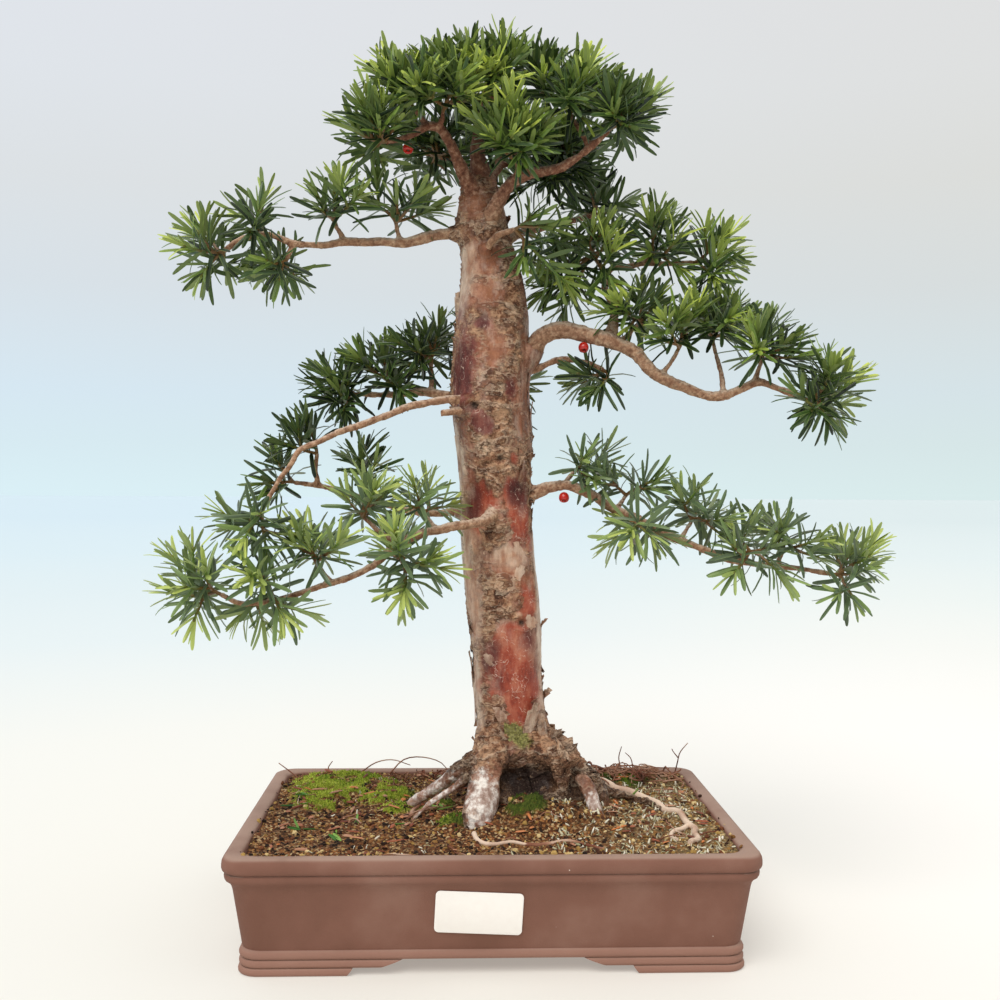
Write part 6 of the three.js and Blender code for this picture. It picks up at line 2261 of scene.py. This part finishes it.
@dataclass
class Studio:
    """The plain studio: floor, sky light, a soft key light, and the camera at the photograph's angle."""

    # The camera's place in millimetres from the pot's middle, its turns in degrees and its lens in millimetres
    camera_place: Point = (-23, -779, 275)
    camera_yaw: float = -2.14
    camera_pitch: float = -0.36
    camera_roll: float = -0.29
    lens: float = 42.8
    floor_half: float = 60.0
    # The floor's colour at the left and the right by how far it is from the pot, in metres, and its own light's share
    floor_left: Stops = (
        (0.0, "#f6f1e6"), (0.7, "#eaebe6"), (1.56, "#dbe5e7"), (2.66, "#d5e2e6"), (4.8, "#cfe0e7"), (12.0, "#cadde7"),
    )
    floor_right: Stops = (
        (0.0, "#faf7ef"), (0.7, "#f4f2ee"), (1.56, "#e9ebe7"), (2.66, "#e0e7e5"), (4.8, "#d8e3e4"), (12.0, "#d0dddf"),
    )
    floor_glow: float = 0.35
    # The sky's colour by the sine of the height above the horizon
    sky: Stops = (
        (0.0, "#d6ebf2"), (0.039, "#d3e6ee"), (0.081, "#d2e3ee"), (0.163, "#d4dde4"), (0.242, "#d8dde1"),
        (0.316, "#dbe0e6"), (0.4, "#dce0e7"), (1.0, "#fafbfd"),
    )
    sky_right: str = "#fefaf3"
    sky_strength: float = 1.05
    # The share of the sky's light that comes from behind the camera
    sky_front: float = 0.6

    def _floor(self) -> None:
        """A wide pale floor."""
        bpy.ops.mesh.primitive_plane_add(size=2 * self.floor_half, location=(0, 0, 0))
        floor = bpy.context.object
        floor.name = "floor"
        sheet = NodeSheet("pale_floor")
        away = sheet.add("ShaderNodeVectorMath", operation="LENGTH")
        sheet.feed(away, n0=sheet.place)
        furthest = self.floor_left[-1][0]
        share = sheet.maths("POWER", sheet.maths("DIVIDE", away.outputs["Value"], furthest), 0.5)
        tones = []
        for colours in (self.floor_left, self.floor_right):
            reaches, codes = zip(*colours)
            tones.append(sheet.ramp(share, [(reach / furthest) ** 0.5 for reach in reaches], codes))
        x, y, _ = sheet.parts()
        depth = sheet.plus(sheet.maths("ABSOLUTE", y), 0.9)
        tone = sheet.mix(sheet.band(sheet.maths("DIVIDE", x, depth), -0.1, 0.4), *tones)
        lit = sheet.mix(self.floor_glow, tone, "#000000")
        glow = {"Emission_Color": tone, "Emission_Strength": self.floor_glow}
        floor.data.materials.append(sheet.finish(lit, 0.8, None, 0.15, **glow))

    def _light(self, name: str, way: Point, strength: float, spread: float, tint: str) -> None:
        """One soft distant light.

        Args:
            name: its name.
            way: the way from the object to it.
            strength: how strong it is.
            spread: how wide it looks from the object, in degrees.
            tint: its colour.
        """
        data = bpy.data.lights.new(name, "SUN")
        data.energy = strength
        data.angle = math.radians(spread)
        data.color = colour(tint)[:3]
        lamp = Bench.link(name, data)
        lamp.rotation_mode = "QUATERNION"
        lamp.rotation_quaternion = Vector(way).to_track_quat("Z", "Y")

    def _sky(self) -> None:
        """A pale sky that is lighter near the floor."""
        sheet = NodeSheet("pale_sky", sky=True)
        x, y, z = sheet.parts()
        tone = sheet.ramp(z, *zip(*self.sky))
        tone = sheet.mix(sheet.band(x, -0.4, 0.4, "LINEAR"), tone, self.sky_right, "MULTIPLY")
        front = sheet.band(y, -0.7, -0.1, "LINEAR", self.sky_front)
        sheet.feed(sheet.shader, Color=tone, Strength=sheet.times(front, self.sky_strength))
        bpy.context.scene.world = sheet.owner

    def _camera(self) -> None:
        """The camera where the photograph was taken from."""
        data = bpy.data.cameras.new("camera")
        data.lens = self.lens
        data.sensor_width = 36
        data.clip_end = 200
        camera = Bench.link("camera", data)
        turn = Matrix.Rotation(math.radians(self.camera_yaw), 4, "Z")
        turn = turn @ Matrix.Rotation(math.radians(self.camera_pitch), 4, "X")
        turn = turn @ Matrix.Rotation(math.radians(self.camera_roll), 4, "Y")
        turn = turn @ Matrix.Rotation(math.pi / 2, 4, "X")
        camera.matrix_world = Matrix.Translation(Vector(self.camera_place) * MM + HOME) @ turn
        bpy.context.scene.camera = camera

    def build(self) -> None:
        """Sets the studio up."""
        self._floor()
        self._sky()
        self._light("key_light", (-0.4, -0.85, 1.2), 1.9, 42, "#fffaf5")
        self._camera()
        bpy.context.scene.view_settings.view_transform = "Standard"


def main() -> None:
    """Builds the bonsai and the studio."""
    logging.basicConfig(level=logging.INFO, format="%(message)s")
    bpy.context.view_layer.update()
    clay = ClayFinish().material()
    bark, twig, needle = BarkFinish().material(), TwigFinish().material(), NeedleFinish().material()
    litter = {
        "crumb": LitterFinish("soil_crumb", ("#24170e", "#4c2d1c", "#7d4b2e", "#93713b", "#b49250", "#dfc793")),
        "moss": LitterFinish("moss_tip", ("#3a4a14", "#6f8a22", "#a6b83a", "#d8dc6c")),
        "fallen": LitterFinish("dry_needle", ("#703a26", "#a0583a", "#b98b6f", "#cf7c42"), 0.6),
        "lichen": LitterFinish("pale_lichen", ("#a3a07a", "#d8d2b2", "#f6f0de")),
        "rootlet": LitterFinish("rootlet_bark", ("#3c2116", "#7a4834", "#ab7f66", "#e2cab4")),
        "weed": LitterFinish("seedling_leaf", ("#2f5a2a", "#5f8f3a", "#8fb257"), 0.5),
    }
    finishes = {"soil": SoilFinish().material()} | {name: finish.material() for name, finish in litter.items()}
    Pot().build(clay)
    net = PlainFinish("black_plastic", ("#1d1e20", "#2b2c2f"), 0.8 * MM, 0.05 * MM, 0.55).material()
    for node in ("drain_screen_1", "drain_screen_2"):
        DrainScreen().build(node, net)
    Sticker().build(PlainFinish("white_paper", ("#fdf8f1", "#fbf5ee"), 0.5 * MM, 0.02 * MM, 0.5, 0.15).material())
    Ground().build(finishes)
    Trunk().build(bark)
    plans = Growth().plans()
    Limbs().build(plans, twig)
    Foliage().build(plans, needle)
    Fruits().build(
        PlainFinish("aril_flesh", ("#c3200f", "#a5180d"), 0.9 * MM, 0.05 * MM, 0.28, 0.4).material(),
        PlainFinish("dark_seed", ("#3a2a20", "#4b382a"), 0.7 * MM, 0.05 * MM, 0.4, 0.2).material(),
        PlainFinish("green_seed", ("#8a8f78", "#8d7f83"), 0.6 * MM, 0.05 * MM, 0.5, 0.1).material(),
    )
    Studio().build()
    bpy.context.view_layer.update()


if __name__ == "__main__":
    main()
